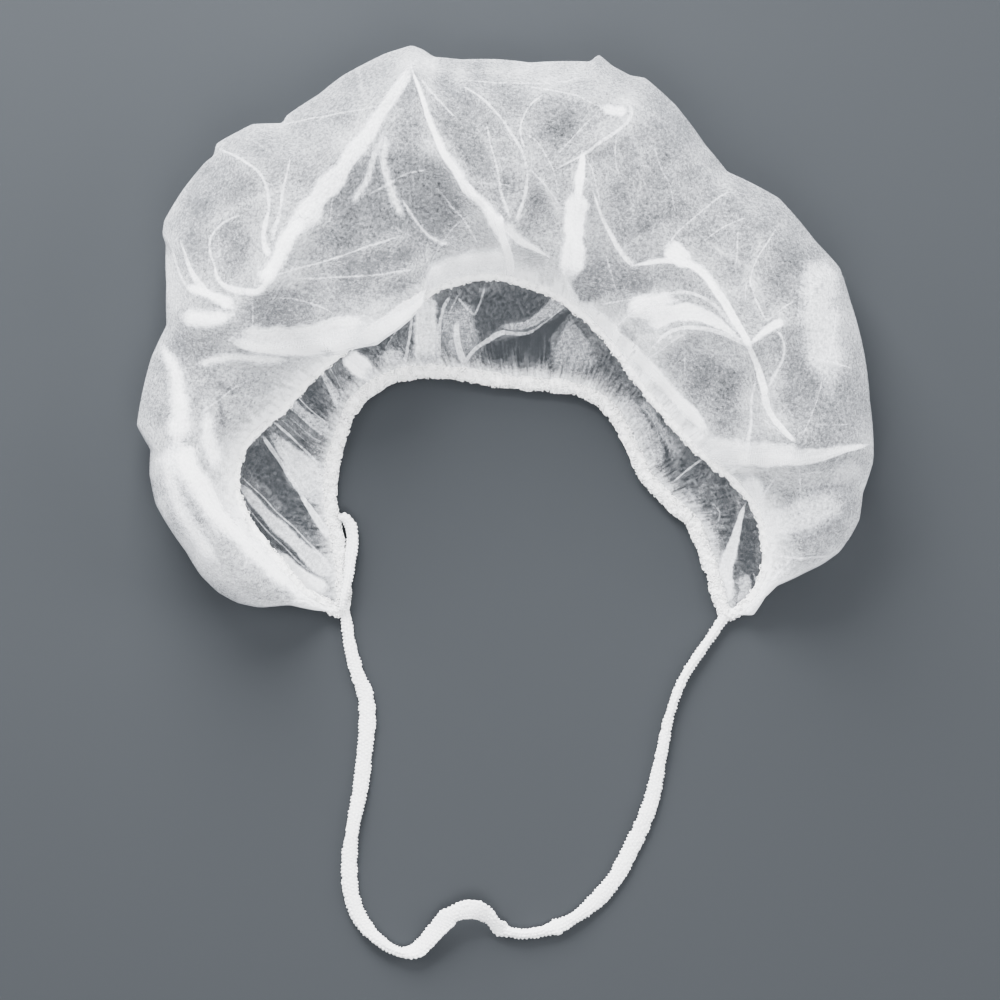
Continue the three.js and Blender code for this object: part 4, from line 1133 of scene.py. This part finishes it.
# turns of the three lays of streaks, and a streak's size in metres
LAY_TURNS = (0.3, 1.4, 2.4)
STREAK = (0.00033, 0.0028, 0.0012)
UNEVENNESS = 0.3
# gathered lines across and along the flat cloth
GATHERED_LINES = (260, 22, 1)
web, web_in, web_out = new_group(
    "fibre web",
    [("Place", VECTOR), ("Cloth", VECTOR), ("Cover", FLOAT), ("Pull", FLOAT)],
    [("Alpha", FLOAT)],
)
place, cloth, cover_in, pull_in = web_in.outputs[:4]
cover_in = calculate(web, "POWER", cover_in, EYE_POWER)
uneven = calculate(web, "MULTIPLY_ADD", noise(web, place, CLUMPS, 1), 2.8, -1.4)
for turn in LAY_TURNS:
    lay = web.nodes.new("ShaderNodeMapping")
    wire(web, lay.inputs["Vector"], place)
    lay.vector_type = "TEXTURE"
    lay.inputs["Rotation"].default_value = (0, 0, turn)
    lay.inputs["Scale"].default_value = STREAK
    strand = calculate(web, "MULTIPLY_ADD", noise(web, lay.outputs["Vector"], 1.0, 0), 5.0, -2.5)
    strand = calculate(web, "MULTIPLY_ADD", calculate(web, "ABSOLUTE", strand), -1.6, 0.9, clamp=True)
    uneven = calculate(web, "ADD", uneven, calculate(web, "ADD", strand, -0.22))
spare = calculate(web, "MULTIPLY", cover_in, calculate(web, "SUBTRACT", 1.0, cover_in))
spare = calculate(web, "MULTIPLY", calculate(web, "SQRT", spare), UNEVENNESS)
uneven = calculate(web, "MULTIPLY", uneven, spare)
stretch = web.nodes.new("ShaderNodeVectorMath")
stretch.operation = "MULTIPLY"
wire(web, stretch.inputs[0], cloth)
stretch.inputs[1].default_value = GATHERED_LINES
strands = calculate(web, "MULTIPLY_ADD", noise(web, stretch.outputs[0], 1.0, 1), 1.4, -0.7)
strands = calculate(web, "MULTIPLY", strands, pull_in)
alpha = calculate(web, "ADD", calculate(web, "ADD", cover_in, uneven), strands, clamp=True)
wire(web, web_out.inputs["Alpha"], alpha)
print(f"Fibre web of {len(web.nodes)} nodes")

# %% Nonwoven material
# layers that lamp light meets, and the share of its slope that a sheet's shading keeps
SHADE_LAYERS = 3.2
PRESSED = 0.14


def mark_node(tree, name):
    """Value of a mesh mark."""
    node = tree.nodes.new("ShaderNodeAttribute")
    node.attribute_name = name
    return node.outputs["Fac"]


def new_material(name):
    """Material with its Principled shader."""
    material = bpy.data.materials.new(name)
    material.use_nodes = True
    return material, material.node_tree, material.node_tree.nodes["Principled BSDF"]


def roughen(tree, shader, height, roughness, gloss, strength, depth):
    """Matt finish with a fine relief, depth metres deep."""
    shader.inputs["Roughness"].default_value = roughness
    shader.inputs["Specular IOR Level"].default_value = gloss
    relief = tree.nodes.new("ShaderNodeBump")
    relief.inputs["Strength"].default_value = strength
    relief.inputs["Distance"].default_value = depth
    wire(tree, relief.inputs["Height"], height)
    wire(tree, shader.inputs["Normal"], relief.outputs["Normal"])


def cloth_material(name, shade):
    """Nonwoven cloth; shade is how many layers the light meets for each that the camera sees."""
    material, tree, shader = new_material(name)
    where = tree.nodes.new("ShaderNodeTexCoord")
    cloth_map = tree.nodes.new("ShaderNodeUVMap")
    cloth_map.uv_map = "cloth"
    fibres = tree.nodes.new("ShaderNodeGroup")
    fibres.node_tree = web
    cover_mark = mark_node(tree, "cover")
    wire(tree, fibres.inputs["Place"], where.outputs["Object"])
    wire(tree, fibres.inputs["Cloth"], cloth_map.outputs["UV"])
    wire(tree, fibres.inputs["Cover"], cover_mark)
    wire(tree, fibres.inputs["Pull"], mark_node(tree, "pull"))
    ray = tree.nodes.new("ShaderNodeLightPath")
    layers = calculate(tree, "MULTIPLY_ADD", ray.outputs["Is Camera Ray"], 1 - shade, shade)
    clear = calculate(tree, "SUBTRACT", 1.0, fibres.outputs["Alpha"])
    clear = calculate(tree, "POWER", clear, layers)
    wire(tree, shader.inputs["Alpha"], calculate(tree, "SUBTRACT", 1.0, clear))
    tint = colour_mix(tree, cover_mark, (0.87, 0.895, 0.94, 1), (0.93, 0.94, 0.955, 1))
    wire(tree, shader.inputs["Base Color"], tint)
    clumps = noise(tree, where.outputs["Object"], CLUMPS, 0)
    roughen(tree, shader, clumps, roughness=0.85, gloss=0.25, strength=0.3, depth=0.0004)
    return material


nonwoven = cloth_material("nonwoven", SHADE_LAYERS)
nonwoven_fold = cloth_material("nonwoven fold", 0)
for piece, material in (
    (front, nonwoven),
    (back, nonwoven),
    (front_layers, nonwoven_fold),
    (back_layers, nonwoven_fold),
):
    piece.data.materials.append(material)
    press_normals(piece, PRESSED)
    print(f"{piece.name}: {material.name}")

# %% [markdown]
# ## Knit finish
#
# The strap and the elastic are bulky white yarn, matt and a little hairy. The stitches are already in the
# mesh, so the finish only paints shade into the grooves between them and roughens the yarn.

# %% Knit material
knit_white, tree, shader = new_material("knit elastic")
where = tree.nodes.new("ShaderNodeTexCoord")
hairs = noise(tree, where.outputs["Object"], 2600, 1)
groove_shade_and_tone = calculate(tree, "MULTIPLY_ADD", hairs, 0.5, -0.25)
# painted shade: the strap's grooves between stitches are mixed towards grey; on the yarn loops the mark is a
# random tone
groove_shade_and_tone = calculate(tree, "ADD", mark_node(tree, "groove_shade_and_tone"), groove_shade_and_tone, clamp=True)
white = colour_mix(tree, groove_shade_and_tone, (0.68, 0.69, 0.72, 1), (0.985, 0.985, 0.985, 1))
wire(tree, shader.inputs["Base Color"], white)
roughen(tree, shader, hairs, roughness=0.95, gloss=0.15, strength=0.4, depth=0.0003)
for piece in (strap, tail, elastic, yarn):
    piece.data.materials.append(knit_white)
    print(f"{piece.name}: {knit_white.name}")

# %% [markdown]
# ## Table and light
#
# White see-through cloth vanishes on a white table, so the table is a plain grey. The light is soft: a
# strong broad lamp behind, weaker ones at both sides and in front, and a little light from the room. The
# net stands up like a wall round the bay in front of its mouth, so the lamp behind puts that bay in soft
# shade.
#
# A camera's tone curve keeps white cloth bright in the shade while the table goes dark. The Filmic view
# with high contrast has such a curve. It needs strong light and a table much darker than it looks. Few
# bounces are enough for this light, and they keep the render short.

# %% Table and light
TABLE_GREY = (0.0475, 0.0538, 0.06, 1)
ROOM_WHITE = (0.97, 0.99, 1.02, 1)
ROOM_STRENGTH = 0.48
# name, place in metres, power in watts
LAMPS = [
    ("lamp behind", (-0.2, 0.64, 0.4), 13.2),
    ("lamp left", (-0.8, 0.1, 0.45), 2.8),
    ("lamp right", (0.85, 0.05, 0.45), 4.4),
    ("lamp in front", (0.0, -0.4, 0.75), 3.3),
]
LAMP_SIZE = 0.5

table_mesh = bpy.data.meshes.new("table")
table_mesh.from_pydata([(-2, -2, 0), (2, -2, 0), (2, 2, 0), (-2, 2, 0)], [], [(0, 1, 2, 3)])
table = bpy.data.objects.new("table", table_mesh)
bpy.context.collection.objects.link(table)
table_grey, _, shader = new_material("table grey")
shader.inputs["Base Color"].default_value = TABLE_GREY
shader.inputs["Roughness"].default_value = 0.8
table_mesh.materials.append(table_grey)


def soft_light(name, place, power):
    """Square area light that faces the middle of the table."""
    data = bpy.data.lights.new(name, "AREA")
    data.size = LAMP_SIZE
    data.energy = power
    lamp = bpy.data.objects.new(name, data)
    lamp.location = place
    aim = -lamp.location
    lamp.rotation_euler = aim.to_track_quat("-Z", "Y").to_euler()
    bpy.context.collection.objects.link(lamp)


for name, place, power in LAMPS:
    soft_light(name, place, power)
world = bpy.data.worlds.new("room")
bpy.context.scene.world = world
world.use_nodes = True
room_light = world.node_tree.nodes["Background"]
room_light.inputs["Color"].default_value = ROOM_WHITE
room_light.inputs["Strength"].default_value = ROOM_STRENGTH
bpy.context.scene.view_settings.view_transform = "Filmic"
bpy.context.scene.view_settings.look = "High Contrast"
bpy.context.scene.cycles.transparent_max_bounces = 16
bpy.context.scene.cycles.diffuse_bounces = 2
print(f"{len(LAMPS)} lamps, {sum(lamp[2] for lamp in LAMPS):.1f} W in all")
